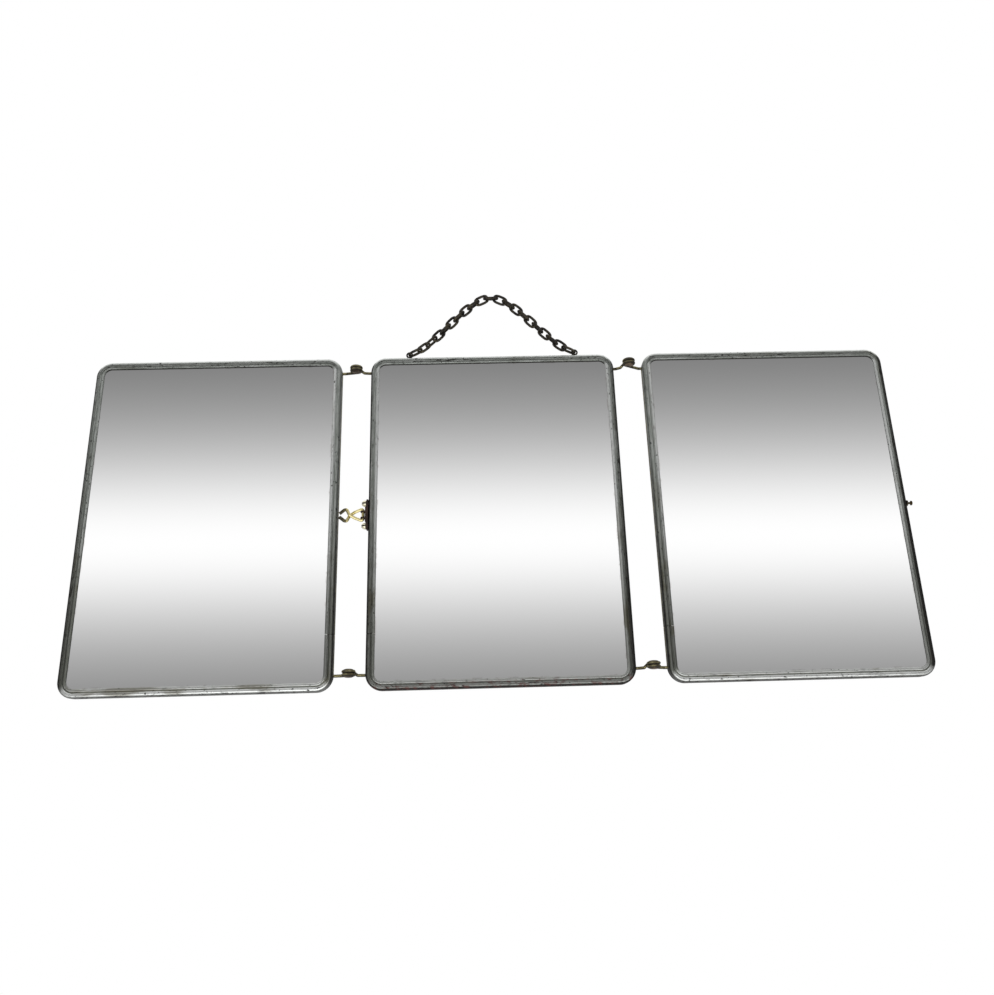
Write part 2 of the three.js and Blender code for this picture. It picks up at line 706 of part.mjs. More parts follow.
function chainEyeGeometry(sign) {
  const x = sign * ANCHOR_X;
  const z = PANEL_TOP_Z + CHAIN_EYE_ABOVE_TOP;
  const path = [];
  const steps = 16;
  for (let i = 0; i < steps; i += 1) {
    const angle = (2 * Math.PI * i) / steps;
    path.push(new THREE.Vector3(
      x + CHAIN_EYE_RADIUS * Math.cos(angle),
      CHAIN_Y,
      z + CHAIN_EYE_RADIUS * Math.sin(angle),
    ));
  }
  const ring = toManifold(wire(path, CHAIN_EYE_WIRE / 2, 8, true));
  const top = z - CHAIN_EYE_RADIUS;
  const foot = PANEL_TOP_Z - CHAIN_EYE_STEM_INSIDE;
  const stem = Manifold.cylinder(top - foot, CHAIN_EYE_WIRE / 2, CHAIN_EYE_WIRE / 2, 10, false);
  return fromManifold(ring.add(stem.translate([x, CHAIN_Y, foot])));
}

function chainEyeHoles() {
  return [-1, 1].map((sign) => cylinderHole(
    CHAIN_EYE_WIRE / 2 + HOLE_CLEARANCE,
    5,
    [sign * ANCHOR_X, CHAIN_Y, PANEL_TOP_Z],
    [0, 0, 0],
  ));
}

// ---------------------------------------------------------------- assembly
const group = new THREE.Group();
group.name = 'three_panel_mirror';

function add(name, geometry, look) {
  const mesh = new THREE.Mesh(geometry, look);
  mesh.name = name;
  group.add(mesh);
}

const panels = [
  { side: 'left', x: -(PANEL_WIDTH + PANEL_GAP), seam: 1, holes: () => [] },
  { side: 'centre', x: 0, seam: -1, holes: () => [...chainEyeHoles(), screwHole(1), screwHole(-1)] },
  { side: 'right', x: PANEL_WIDTH + PANEL_GAP, seam: -1, holes: () => [studHole()] },
];

for (const { side, x, seam, holes } of panels) {
  const frame = frameGeometry(x, seam);
  const glass = prismY(panelOutline(x, GLASS_INSET), GLASS_FRONT_Y, GLASS_FRONT_Y + GLASS_THICKNESS);
  const pad = prismY(panelOutline(x, PAD_INSET), PAD_FRONT_Y, PAD_FRONT_Y + PAD_THICKNESS);
  const back = prismY(panelOutline(x, BACK_INSET), BACK_FRONT_Y, BACK_FRONT_Y + BACK_THICKNESS);
  const cuts = holes();
  const rim = cuts.length ? drilled(frame, cuts) : frame;
  add(`frame_${side}`, rim, material(`frame_${side}_tin`, 0x7d837c, 0.7, 0.45));
  add(`mirror_glass_${side}`, glass, material(`mirror_glass_${side}_silver`, 0xd8dcdc, 1, 0.05));
  add(`card_pad_${side}`, pad, material(`card_pad_${side}_card`, 0x8b7a5c, 0, 0.9));
  add(`back_plate_${side}`, back, material(`back_plate_${side}_tin`, 0x6d726d, 0.6, 0.5));
}

const rods = [
  { name: 'hinge_rod_left_outer', x: LEFT_AXIS_X, y: LEFT_AXIS_Y, towards: -1 },
  { name: 'hinge_rod_centre_left', x: LEFT_AXIS_X, y: LEFT_AXIS_Y, towards: 1, crank: LEFT_CRANK_START },
  { name: 'hinge_rod_centre_right', x: RIGHT_AXIS_X, y: RIGHT_AXIS_Y, towards: -1, crank: RIGHT_CRANK_START },
  { name: 'hinge_rod_right_outer', x: RIGHT_AXIS_X, y: RIGHT_AXIS_Y, towards: 1 },
];
for (const { name, x, y, towards, crank } of rods) {
  add(name, hingeRodGeometry(x, y, towards, crank), material(`${name}_wire`, 0x6b6a4f, 0.6, 0.5));
}

const rivets = [
  { name: 'hinge_rivet_left_top', x: LEFT_AXIS_X, y: LEFT_AXIS_Y, sign: 1 },
  { name: 'hinge_rivet_left_bottom', x: LEFT_AXIS_X, y: LEFT_AXIS_Y, sign: -1 },
  { name: 'hinge_rivet_right_top', x: RIGHT_AXIS_X, y: RIGHT_AXIS_Y, sign: 1 },
  { name: 'hinge_rivet_right_bottom', x: RIGHT_AXIS_X, y: RIGHT_AXIS_Y, sign: -1 },
];
for (const { name, x, y, sign } of rivets) {
  add(name, hingeRivetGeometry(x, y, sign), material(`${name}_iron`, 0x4a4036, 0.6, 0.55));
}

add('clasp_base_plate', claspPlateGeometry(), material('clasp_base_plate_iron', 0x33261f, 0.6, 0.55));
add('clasp_screw_top', claspScrewGeometry(1), material('clasp_screw_top_brass', 0xb8a66a, 0.8, 0.35));
add('clasp_screw_bottom', claspScrewGeometry(-1), material('clasp_screw_bottom_brass', 0xb8a66a, 0.8, 0.35));
add('clasp_spring_wire', claspWireGeometry(), material('clasp_spring_wire_brass', 0xa8955a, 0.8, 0.4));
add('catch_stud', catchStudGeometry(), material('catch_stud_brass', 0x8f8254, 0.8, 0.4));
add('chain_eye_left', chainEyeGeometry(-1), material('chain_eye_left_iron', 0x3a332c, 0.6, 0.6));
add('chain_eye_right', chainEyeGeometry(1), material('chain_eye_right_iron', 0x3a332c, 0.6, 0.6));

const chain = linkPlaces();
chain.places.forEach((place, order) => {
  const name = `chain_link_${String(order + 1).padStart(2, '0')}`;
  add(name, chainLinkGeometry(place, chain.pitch), material(`${name}_iron`, 0x2f2925, 0.6, 0.6));
});

export default group;
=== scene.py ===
"""Looks of a folding three-panel barber's mirror hung by its chain.

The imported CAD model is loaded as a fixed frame. Every piece built here stands for one
or more of its nodes and rides on their body. Lengths are in metres unless a name ends
in _MM, +X is to the viewer's right, the mirrors face -Y and +Z is up.
"""

from __future__ import annotations

import json
import logging
import math
from contextlib import contextmanager
from dataclasses import dataclass, field
from enum import Enum
from typing import Any, Callable, Iterator, Sequence

import bmesh
import bpy
import numpy as np
from mathutils import Matrix, Quaternion, Vector

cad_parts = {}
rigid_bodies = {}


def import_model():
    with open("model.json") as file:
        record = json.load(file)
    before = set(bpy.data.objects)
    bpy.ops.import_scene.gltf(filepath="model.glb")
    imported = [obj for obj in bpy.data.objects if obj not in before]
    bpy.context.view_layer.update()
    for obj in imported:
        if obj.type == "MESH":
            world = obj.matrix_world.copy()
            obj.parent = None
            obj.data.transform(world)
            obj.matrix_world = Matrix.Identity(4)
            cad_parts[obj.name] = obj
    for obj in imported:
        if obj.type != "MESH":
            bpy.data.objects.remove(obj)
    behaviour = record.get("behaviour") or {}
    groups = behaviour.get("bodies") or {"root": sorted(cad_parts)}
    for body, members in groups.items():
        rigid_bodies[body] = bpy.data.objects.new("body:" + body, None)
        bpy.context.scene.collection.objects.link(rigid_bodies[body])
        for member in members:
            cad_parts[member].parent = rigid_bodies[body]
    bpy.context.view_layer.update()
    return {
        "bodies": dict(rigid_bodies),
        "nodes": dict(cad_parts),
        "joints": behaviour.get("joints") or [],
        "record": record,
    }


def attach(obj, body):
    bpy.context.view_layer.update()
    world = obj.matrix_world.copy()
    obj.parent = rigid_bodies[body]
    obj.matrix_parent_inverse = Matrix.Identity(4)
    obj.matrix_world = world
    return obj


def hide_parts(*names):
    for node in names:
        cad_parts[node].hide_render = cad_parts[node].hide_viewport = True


LOG = logging.getLogger("mirror")
MM = 0.001
HALVINGS = 48

Pair = tuple[float, float]
Point = tuple[float, float, float]
Colour = tuple[float, float, float, float]
Socket = bpy.types.NodeSocket
Material = bpy.types.Material
Object = bpy.types.Object
Frame = dict[str, Any]


# ---- sizes


@dataclass(frozen=True)
class PanelSizes:
    """Sizes shared by the three panels, in millimetres."""

    width: float = 210.0
    height: float = 283.0
    gap: float = 25.0
    corner: float = 13.0
    top_z: float = -56.0
    front_y: float = -4.0
    rear_y: float = 4.0
    groove_y: float = 1.85
    groove_depth: float = 1.2

    @property
    def mid_z(self) -> float:
        """Height of the panels' centres."""
        return self.top_z - self.height / 2


PANEL = PanelSizes()


class Side(Enum):
    """The three panels, with the sign of their place along X."""

    LEFT = -1
    CENTRE = 0
    RIGHT = 1

    @property
    def word(self) -> str:
        """The panel's name as used in node and body names."""
        return self.name.lower()

    @property
    def x(self) -> float:
        """X of the panel's centre in millimetres."""
        return self.value * (PANEL.width + PANEL.gap)


# ---- shader maths


def arithmetic(operation: str, reflected: bool = False) -> Callable[[Val, Any], Val]:
    """Makes an operator method of Val.

    Args:
        operation: The Math node's operation.
        reflected: Whether the other value comes first.

    Returns:
        The method.
    """
    def method(self: Val, other: Any) -> Val:
        """Adds the Math node."""
        return self.maths(operation, *((other, self) if reflected else (self, other)))
    return method


class Val:
    """A shader socket that can be used in Python expressions on single values."""

    def __init__(self, nodes: Nodes, socket: Socket) -> None:
        """Wraps an output socket of the tree that nodes builds."""
        self.nodes = nodes
        self.socket = socket

    def maths(self, operation: str, *values: Any) -> Val:
        """Adds one Math node over the given values."""
        return self.nodes.value("ShaderNodeMath", dict(enumerate(values)), operation=operation)

    __add__, __radd__ = arithmetic("ADD"), arithmetic("ADD", True)
    __sub__, __rsub__ = arithmetic("SUBTRACT"), arithmetic("SUBTRACT", True)
    __mul__, __rmul__ = arithmetic("MULTIPLY"), arithmetic("MULTIPLY", True)
    __truediv__, __rtruediv__ = arithmetic("DIVIDE"), arithmetic("DIVIDE", True)
    __pow__ = arithmetic("POWER")

    def __abs__(self) -> Val:
        """Absolute value."""
        return self.maths("ABSOLUTE", self)

    def angle(self, other: Any) -> Val:
        """Angle in radians of the point (other, self)."""
        return self.maths("ARCTAN2", self, other)

    def sign(self) -> Val:
        """-1, 0 or 1."""
        return self.maths("SIGN", self)

    def clamp(self) -> Val:
        """Holds the value between 0 and 1."""
        return self.nodes.value("ShaderNodeClamp", {0: self})

    def smooth(self, low: float, high: float) -> Val:
        """Smooth step from 0 at low to 1 at high."""
        return self.nodes.value(
            "ShaderNodeMapRange", {"Value": self, "From Min": low, "From Max": high},
            interpolation_type="SMOOTHSTEP")

    def band(self, centre: float, half: float, soft: float) -> Val:
        """1 within half of centre, fading to 0 over soft."""
        return 1 - abs(self - centre).smooth(half, half + soft)


class Nodes:
    """Builds one node tree."""

    def __init__(self, tree: bpy.types.NodeTree) -> None:
        """Keeps the tree that nodes are added to."""
        self.tree = tree

    @classmethod
    def fresh(cls, owner: bpy.types.ID) -> Nodes:
        """Starts on the emptied node tree of a material or a world."""
        owner.use_nodes = True
        owner.node_tree.nodes.clear()
        return cls(owner.node_tree)

    def add(self, kind: str, values: dict[Any, Any] | None = None,
            **settings: Any) -> bpy.types.Node:
        """Adds a node, sets it up and joins its inputs.

        Args:
            kind: The node's type.
            values: Input name or index to a Val, an output socket or a constant.
            settings: The node's properties, set first.

        Returns:
            The new node.
        """
        node = self.tree.nodes.new(kind)
        for key, value in settings.items():
            setattr(node, key, value)
        for key, value in (values or {}).items():
            value = value.socket if isinstance(value, Val) else value
            if isinstance(value, Socket):
                self.tree.links.new(value, node.inputs[key])
            else:
                node.inputs[key].default_value = value
        return node

    def out(self, kind: str, values: dict[Any, Any] | None = None, output: int | str = 0,
            **settings: Any) -> Socket:
        """Adds a node as add does and returns one of its outputs."""
        return self.add(kind, values, **settings).outputs[output]

    def value(self, kind: str, values: dict[Any, Any] | None = None, output: int | str = 0,
              **settings: Any) -> Val:
        """Adds a node as add does and wraps one of its outputs for maths."""
        return Val(self, self.out(kind, values, output, **settings))

    def parts(self, vector: Socket) -> tuple[Val, ...]:
        """The three components of a vector."""
        node = self.add("ShaderNodeSeparateXYZ", {0: vector})
        return tuple(Val(self, socket) for socket in node.outputs)

    def attribute(self, name: str) -> Socket:
        """Reads a vector attribute."""
        return self.out("ShaderNodeAttribute", {}, "Vector", attribute_name=name)

    def dot(self, vector: Socket, axis: Sequence[float]) -> Val:
        """Length of a vector along a fixed axis."""
        return self.value("ShaderNodeVectorMath", {0: vector, 1: axis}, "Value",
                          operation="DOT_PRODUCT")

    def place(self) -> Socket:
        """The Object coordinates."""
        return self.out("ShaderNodeTexCoord", {}, "Object")

    def mapped(self, vector: Socket, scale: Point, shift: Point = (0, 0, 0)) -> Socket:
        """Scales and shifts a vector."""
        return self.out("ShaderNodeMapping", {
            "Vector": vector, "Scale": scale, "Location": shift})

    def noise(self, vector: Socket, scale: float, detail: float = 3.0,
              rough: float = 0.55) -> Val:
        """Noise from 0 to 1."""
        return self.value("ShaderNodeTexNoise", {
            "Vector": vector, "Scale": scale, "Detail": detail, "Roughness": rough})

    def mix(self, factor: Any, one: Any, two: Any) -> Socket:
        """Mixes two colours."""
        return self.out("ShaderNodeMix", {0: factor, 6: one, 7: two}, 2, data_type="RGBA")

    def bump(self, height: Val, distance: float, strength: float) -> Socket:
        """Turns a height into a bumped normal."""
        return self.out("ShaderNodeBump", {
            "Height": height, "Distance": distance, "Strength": strength})


def rgb(red: float, green: float, blue: float) -> Colour:
    """Linear colour from display values of 0 to 255."""
    def linear(value: float) -> float:
        """One channel."""
        part = value / 255
        return part / 12.92 if part <= 0.04045 else ((part + 0.055) / 1.055) ** 2.4
    return (linear(red), linear(green), linear(blue), 1.0)


# ---- finishes


@dataclass(frozen=True)
class Finish:
    """Base of a finish: a named material whose pattern its look method gives."""

    name: str

    def make(self) -> Material:
        """Builds the material.

        Returns:
            The new material.
        """
        material = bpy.data.materials.new(self.name)
        nodes = Nodes.fresh(material)
        shader = nodes.out("ShaderNodeBsdfPrincipled", self.look(nodes))
        output = nodes.add("ShaderNodeOutputMaterial", {"Surface": shader})
        output.is_active_output = True
        return material

    def look(self, nodes: Nodes) -> dict[str, Any]:
        """Builds the pattern.

        Args:
            nodes: The material's tree.

        Returns:
            The Principled shader's inputs by name.
        """
        raise NotImplementedError


@dataclass(frozen=True)
class WornTin(Finish):
    """Worn tinned sheet of the rims with painted shade and painted highlights, patterned along the
    rim by its attributes.

    Insets are in millimetres from the rim's outer edge. A pair of strengths is for the
    panel's left and right side, and a pair of insets is where a zone starts and is full.
    """

    seed: float
    soot: float
    # Strengths of the painted shade on the outer side, of a painted shade band on the bead and of a
    # painted highlight on the lip.
    outline: Pair
    soil: Pair
    shine: Pair
    bright: Colour = rgb(224, 226, 224)
    grey: Colour = rgb(160, 165, 159)
    low: Colour = rgb(120, 122, 114)
    olive: Colour = rgb(98, 92, 68)
    rust: Colour = rgb(82, 50, 46)
    dark: Colour = rgb(30, 29, 26)
    lip: Pair = (3.6, 5.2)
    # Zones of painted shade: along the glass's edge, and in the groove as centre, half width and
    # fade.
    inner_edge: Pair = (6.0, 6.8)
    groove: tuple[float, float, float] = (4.66, 0.1, 0.4)
    upper_half: Pair = (-0.1, 0.06)
    turned_up: Pair = (0.3, 0.8)

    def look(self, nodes: Nodes) -> dict[str, Any]:
        """Streaks along the rim, painted highlights on the lip and bead, painted shade on the outer
        sides, bead, groove and inner edge, dirt, pits and scorched spots.
        """
        rim = nodes.attribute("rim")
        _, inset, depth = nodes.parts(rim)
        across, facing, _ = nodes.parts(nodes.attribute("side"))
        height = nodes.dot(nodes.place(), (0, 0, 1))
        upper = (height - PANEL.mid_z * MM).smooth(*self.upper_half)
        bottom = (0 - facing).smooth(*self.turned_up)
        top = facing.smooth(*self.turned_up)
        sides = 1 - top - bottom
        right = across.smooth(-0.2, 0.2)

        def paired(values: Pair) -> Val:
            """A value for the panel's left side and one for its right side."""
            return values[0] + right * (values[1] - values[0])

        def layer(length: float, width: float, shift: float, detail: float = 3.0,
                  rough: float = 0.55) -> Val:
            """Noise over the rim's coordinates, stretched along it."""
            spot = nodes.mapped(rim, (length, width, width), (self.seed + shift, shift, 0))
            return nodes.noise(spot, 1.0, detail, rough)

        streak = layer(0.05, 0.9, 0, 6.0, 0.62)
        patch = layer(0.03, 0.1, 3)
        grain = layer(0.45, 1.4, 7, 4.0, 0.7)
        wear = layer(0.014, 0.02, 29, 2.0)
        pits = layer(0.34, 0.6, 11).smooth(0.62, 0.68) * wear.smooth(0.38, 0.54)
        smudge = layer(0.12, 0.4, 31, 4.0, 0.6).smooth(0.56, 0.68)
        lines = layer(0.03, 1.6, 17, 3.0, 0.6).smooth(0.6, 0.7)
        ticks = layer(0.2, 0.3, 23, 4.0, 0.65).smooth(0.48, 0.64)

        lip = inset.smooth(*self.lip)
        # Painted highlights: on the side rims' lip, on the bottom rim's inner lip and bead, and on
        # the top rim's outer part.
        painted_highlight = sides * (0.1 + right * 0.2 + upper * 0.75) * lip * paired(self.shine)
        painted_highlight = painted_highlight + bottom * inset.smooth(4.6, 5.2) * (0.75 - self.soot * 0.3)
        painted_highlight = painted_highlight + bottom * (1 - inset.smooth(3.4, 4.4)) * (1.0 - self.soot * 0.75)
        painted_highlight = painted_highlight + top * (1 - inset.smooth(1.8, 2.6)) * 0.5
        # The rim is darker towards the bottom of the panel.
        colour = nodes.mix(upper, self.low, self.grey)
        colour = nodes.mix(streak.smooth(0.44, 0.66) * (0.2 + upper * 0.35), colour, self.bright)
        colour = nodes.mix((painted_highlight * (0.75 + streak * 0.5)).clamp(), colour, self.bright)
        worn = patch.smooth(0.54, 0.68) * (1 - upper * 0.55) * 0.6
        colour = nodes.mix(worn, colour, self.olive)

        # Painted shade on the side rims' outer side and as a band on their bead, on the top rim, on
        # the bottom rim's outer side, in the groove and along the glass's edge; real pits,
        # scratches, smudges, soot and grain are added to it.
        outer = paired(self.outline) * upper + 0.86 * (1 - upper)
        shade_and_dirt = (1 - inset.smooth(0.9, 1.9)) * outer
        shade_and_dirt = shade_and_dirt + inset.band(2.3, 0.5, 1.3) * paired(self.soil) * (1.4 - upper * 0.4)
        shade_and_dirt = sides * shade_and_dirt.clamp() + top * inset.smooth(2.2, 3.2) * 0.22
        shade_and_dirt = shade_and_dirt + top * inset.band(3.4, 0.5, 1.0) * 0.5
        shade_and_dirt = shade_and_dirt + bottom * (1 - inset.smooth(0.6, 1.9)) * 0.78
        shallow = 1 - (depth + 2.6).smooth(0.0, 0.6)
        shade_and_dirt = shade_and_dirt + inset.band(*self.groove) * shallow * (0.25 + bottom * 0.35)
        shade_and_dirt = shade_and_dirt + inset.smooth(*self.inner_edge) * (top * 0.7 + 0.15)
        shade_and_dirt = shade_and_dirt + pits * 0.9 + lines * 0.25 + smudge * 0.3
        shade_and_dirt = shade_and_dirt + bottom * self.soot * (0.5 + ticks * 0.4) * (1 - lip * 0.7)
        shade_and_dirt = (shade_and_dirt + (1 - grain.smooth(0.28, 0.46)) * 0.3).clamp()
        # The dark colour that painted shade and dirt both darken towards, turning rusty in the
        # soot.
        dark_tone = nodes.mix((ticks * bottom * self.soot).clamp(), self.dark, self.rust)
        bumps = streak * 0.5 + grain * 0.35 - pits * 0.9
        return {"Base Color": nodes.mix(shade_and_dirt, colour, dark_tone),
                "Metallic": 0.95 - shade_and_dirt * 0.3,
                "Roughness": 0.22 + grain * 0.16 + shade_and_dirt * 0.22,
                "Normal": nodes.bump(bumps, 0.00018, 0.6)}


@dataclass(frozen=True)
class Silver(Finish):
    """Silvered mirror glass with faint age at its edges, which lie edge_mm inside the panel's."""

    centre_x: float = 0.0
    edge_mm: float = 8.5
    clean: Colour = (0.965, 0.965, 0.965, 1)
    brown: Colour = rgb(122, 104, 84)

    def look(self, nodes: Nodes) -> dict[str, Any]:
        """A clean mirror whose rim has small brown stains."""
        place = nodes.place()
        x, _, z = nodes.parts(place)
        across, upright = abs(x - self.centre_x * MM), abs(z - PANEL.mid_z * MM)
        edge = (across - (PANEL.width / 2 - self.edge_mm) * MM).smooth(0, 0.002)
        edge = edge + (upright - (PANEL.height / 2 - self.edge_mm) * MM).smooth(0, 0.002)
        dark_tone = edge.clamp() * nodes.noise(place, 120.0, 4.0).smooth(0.5, 0.68) * 0.5
        return {"Base Color": nodes.mix(dark_tone, self.clean, self.brown),
                "Metallic": 1.0, "Roughness": 0.012 + dark_tone * 0.3}


@dataclass(frozen=True)
class Wire(Finish):
    """Drawn wire or turned metal with tarnish in patches.

    A darker stretch is an axis, its centre and half length in millimetres, and its strength; some
    stretches are painted shade.
    """

    bright: Colour = rgb(140, 136, 104)
    tarnish: Colour = rgb(84, 78, 52)
    # Colour of the dirt and of the darker stretches, some of which are painted shade.
    dirt: Colour = rgb(36, 30, 24)
    metal: float = 0.85
    rough: float = 0.34
    patch_scale: float = 160.0
    dirt_low: float = 0.5
    soiled: tuple[tuple[int, float, float, float], ...] = ()
    soiled_fade: float = 0.8

    def look(self, nodes: Nodes) -> dict[str, Any]:
        """Tarnish and dirt over bare metal, with fine scratches and darker stretches, some of them
        painted shade.
        """
        place = nodes.place()
        patch = nodes.noise(place, self.patch_scale, 4.0, 0.6)
        grain = nodes.noise(place, self.patch_scale * 6, 3.0, 0.7)
        shifted = nodes.mapped(place, (1, 1, 1), (3, 1, 2))
        dirt = nodes.noise(shifted, self.patch_scale * 1.7, 5.0, 0.65)
        mask = dirt.smooth(self.dirt_low, self.dirt_low + 0.16)
        # Darker stretches along an axis, some of them painted shade.
        for axis, centre, half, strength in self.soiled:
            along = nodes.dot(place, tuple(float(i == axis) for i in range(3)))
            mask = mask + along.band(centre * MM, half * MM, self.soiled_fade * MM) * strength
        mask = mask.clamp()
        colour = nodes.mix(patch.smooth(0.38, 0.62), self.bright, self.tarnish)
        return {"Base Color": nodes.mix(mask * 0.94, colour, self.dirt),
                "Metallic": self.metal - mask * 0.5,
                "Roughness": self.rough + grain * 0.18 + mask * 0.25,
                "Normal": nodes.bump(grain * 0.5 + dirt * 0.5, 0.00012, 0.5)}


@dataclass(frozen=True)
class ScrewHead(Finish):
    """Light cream worn screw head, darker in its slot and next to the plate."""

    slot_z: float = 0.0
    clean_x: float = -107.5
    seat_x: float = -106.8
    cream: Colour = rgb(232, 226, 200)
    # Colour of the dirt blotches, and of the slot and the head's edge next to the plate.
    dirt: Colour = rgb(40, 32, 22)

    def look(self, nodes: Nodes) -> dict[str, Any]:
        """Cream metal, dark in the slot and close to the plate."""
        place = nodes.place()
        blotch = nodes.noise(place, 900.0, 3.0)
        slot = nodes.dot(place, (0, 0, 1)).band(self.slot_z * MM, 0.0005, 0.0003)
        rim = nodes.dot(place, (1, 0, 0)).smooth(self.clean_x * MM, self.seat_x * MM)
        mask = (slot + rim + blotch.smooth(0.58, 0.7) * 0.5).clamp()
        return {"Base Color": nodes.mix(mask * 0.92, self.cream, self.dirt),
                "Metallic": 0.75 - mask * 0.5, "Roughness": 0.36 + mask * 0.3,
                "Normal": nodes.bump(blotch, 0.0001, 0.4)}


@dataclass(frozen=True)
class BackSheet(Finish):
    """Dull tinned sheet of the back plates."""

    shade: Colour = rgb(116, 119, 112)
    light: Colour = rgb(138, 141, 133)
    bare: Colour = rgb(176, 178, 170)
    rust: Colour = rgb(96, 72, 50)
    spot: Colour = rgb(52, 38, 28)

    def look(self, nodes: Nodes) -> dict[str, Any]:
        """Cloudy grey sheet with scratches and rust bloom."""
        place = nodes.place()
        cloud = nodes.noise(place, 9.0, 6.0, 0.66)
        scratch = nodes.noise(nodes.mapped(place, (1, 1, 0.05)), 420.0, 2.0)
        bloom = nodes.noise(place, 38.0, 6.0, 0.7)
        speck = nodes.noise(place, 240.0, 3.0).smooth(0.66, 0.71)
        colour = nodes.mix(cloud.smooth(0.3, 0.7), self.shade, self.light)
        colour = nodes.mix(scratch.smooth(0.58, 0.72) * 0.3, colour, self.bare)
        colour = nodes.mix(bloom.smooth(0.58, 0.72) * 0.55, colour, self.rust)
        return {"Base Color": nodes.mix(speck * 0.75, colour, self.spot),
                "Metallic": 0.8 - bloom.smooth(0.6, 0.74) * 0.5,
                "Roughness": 0.38 + cloud * 0.2,
                "Normal": nodes.bump(scratch * 0.4 + cloud * 0.6, 0.0002, 0.4)}


@dataclass(frozen=True)
class Card(Finish):
    """Brown card behind the glass."""

    shade: Colour = rgb(118, 98, 70)
    light: Colour = rgb(160, 138, 104)

    def look(self, nodes: Nodes) -> dict[str, Any]:
        """Fibres and soft blotches."""
        place = nodes.place()
        fibre = nodes.noise(nodes.mapped(place, (1, 1, 0.2)), 600.0, 4.0)
        blotch = nodes.noise(place, 30.0, 3.0)
        return {"Base Color": nodes.mix(fibre * 0.6 + blotch * 0.4, self.shade, self.light),
                "Roughness": 0.82 + fibre * 0.12, "Normal": nodes.bump(fibre, 0.0002, 0.5)}


# ---- mesh helpers

# A wire's rounded tip: share of its depth and share of the wire's radius.
TIP = ((0.35, 0.9), (0.55, 0.66), (0.62, 0.3))
TIP_DEPTH = 0.35


def put(name: str, data: bpy.types.ID) -> Object:
    """Makes an object of a data block and links it to the scene."""
    made = bpy.data.objects.new(name, data)
    bpy.context.scene.collection.objects.link(made)
    return made


def redress(data: bpy.types.Mesh, material: Material) -> None:
    """Makes a material the only one of a mesh."""
    data.materials.clear()
    data.materials.append(material)


def make_mesh(name: str, points: np.ndarray, faces: Sequence[Sequence[int]],
              material: Material, sharp: float = 40.0,
              attributes: dict[str, np.ndarray] | None = None) -> Object:
    """Makes one smooth-shaded object.

    Args:
        name: The object's name.
        points: Its vertices in millimetres.
        faces: Its faces.
        material: Its material.
        sharp: Angle in degrees above which an edge stays sharp.
        attributes: Vector attributes on its vertices.

    Returns:
        The object, linked to the scene.
    """
    data = bpy.data.meshes.new(name)
    metres = np.asarray(points, dtype=float) * MM
    data.from_pydata(metres.tolist(), [], [list(face) for face in faces])
    for key, values in (attributes or {}).items():
        layer = data.attributes.new(key, "FLOAT_VECTOR", "POINT")
        layer.data.foreach_set("vector", np.asarray(values, dtype=np.float32).ravel())
    outward(data)
    shade(data, sharp)
    data.materials.append(material)
    return put(name, data)


def shade(data: bpy.types.Mesh, sharp: float) -> None:
    """Shades a mesh smooth but for edges sharper than an angle in degrees."""
    data.shade_smooth()
    data.set_sharp_from_angle(angle=math.radians(sharp))


@contextmanager
def edited(data: bpy.types.Mesh) -> Iterator[bmesh.types.BMesh]:
    """Opens a mesh for changes and writes them back."""
    work = bmesh.new()
    work.from_mesh(data)
    yield work
    work.to_mesh(data)
    work.free()


def outward(data: bpy.types.Mesh) -> None:
    """Turns a closed mesh's faces outwards."""
    with edited(data) as work:
        bmesh.ops.recalc_face_normals(work, faces=work.faces)
        if work.calc_volume(signed=True) < 0:
            bmesh.ops.reverse_faces(work, faces=work.faces)


def baked(source: Object, name: str) -> Object:
    """Turns an object with modifiers into a plain mesh object.

    Args:
        source: The object whose modifiers are applied. It is removed.
        name: The new object's name.

    Returns:
        The plain object.
    """
    graph = bpy.context.evaluated_depsgraph_get()
    data = bpy.data.meshes.new_from_object(
        source.evaluated_get(graph), preserve_all_data_layers=True, depsgraph=graph)
    bpy.data.objects.remove(source)
    data.name = name
    return put(name, data)


def quads(one: int, two: int, size: int) -> list[list[int]]:
    """Faces between two rings of points, given the index that each starts at."""
    return [[one + j, one + (j + 1) % size, two + (j + 1) % size, two + j]
            for j in range(size)]


def strip(rings: np.ndarray) -> tuple[np.ndarray, list[list[int]]]:
    """Joins rings of points into a solid with a flat face at each end.

    Args:
        rings: Array of stations by points by 3.

    Returns:
        The points and the faces.
    """
    count, size, _ = rings.shape
    faces = []
    for i in range(count - 1):
        faces += quads(i * size, (i + 1) * size, size)
    faces.append(list(range(size))[::-1])
    faces.append([(count - 1) * size + j for j in range(size)])
    return rings.reshape(-1, 3), faces


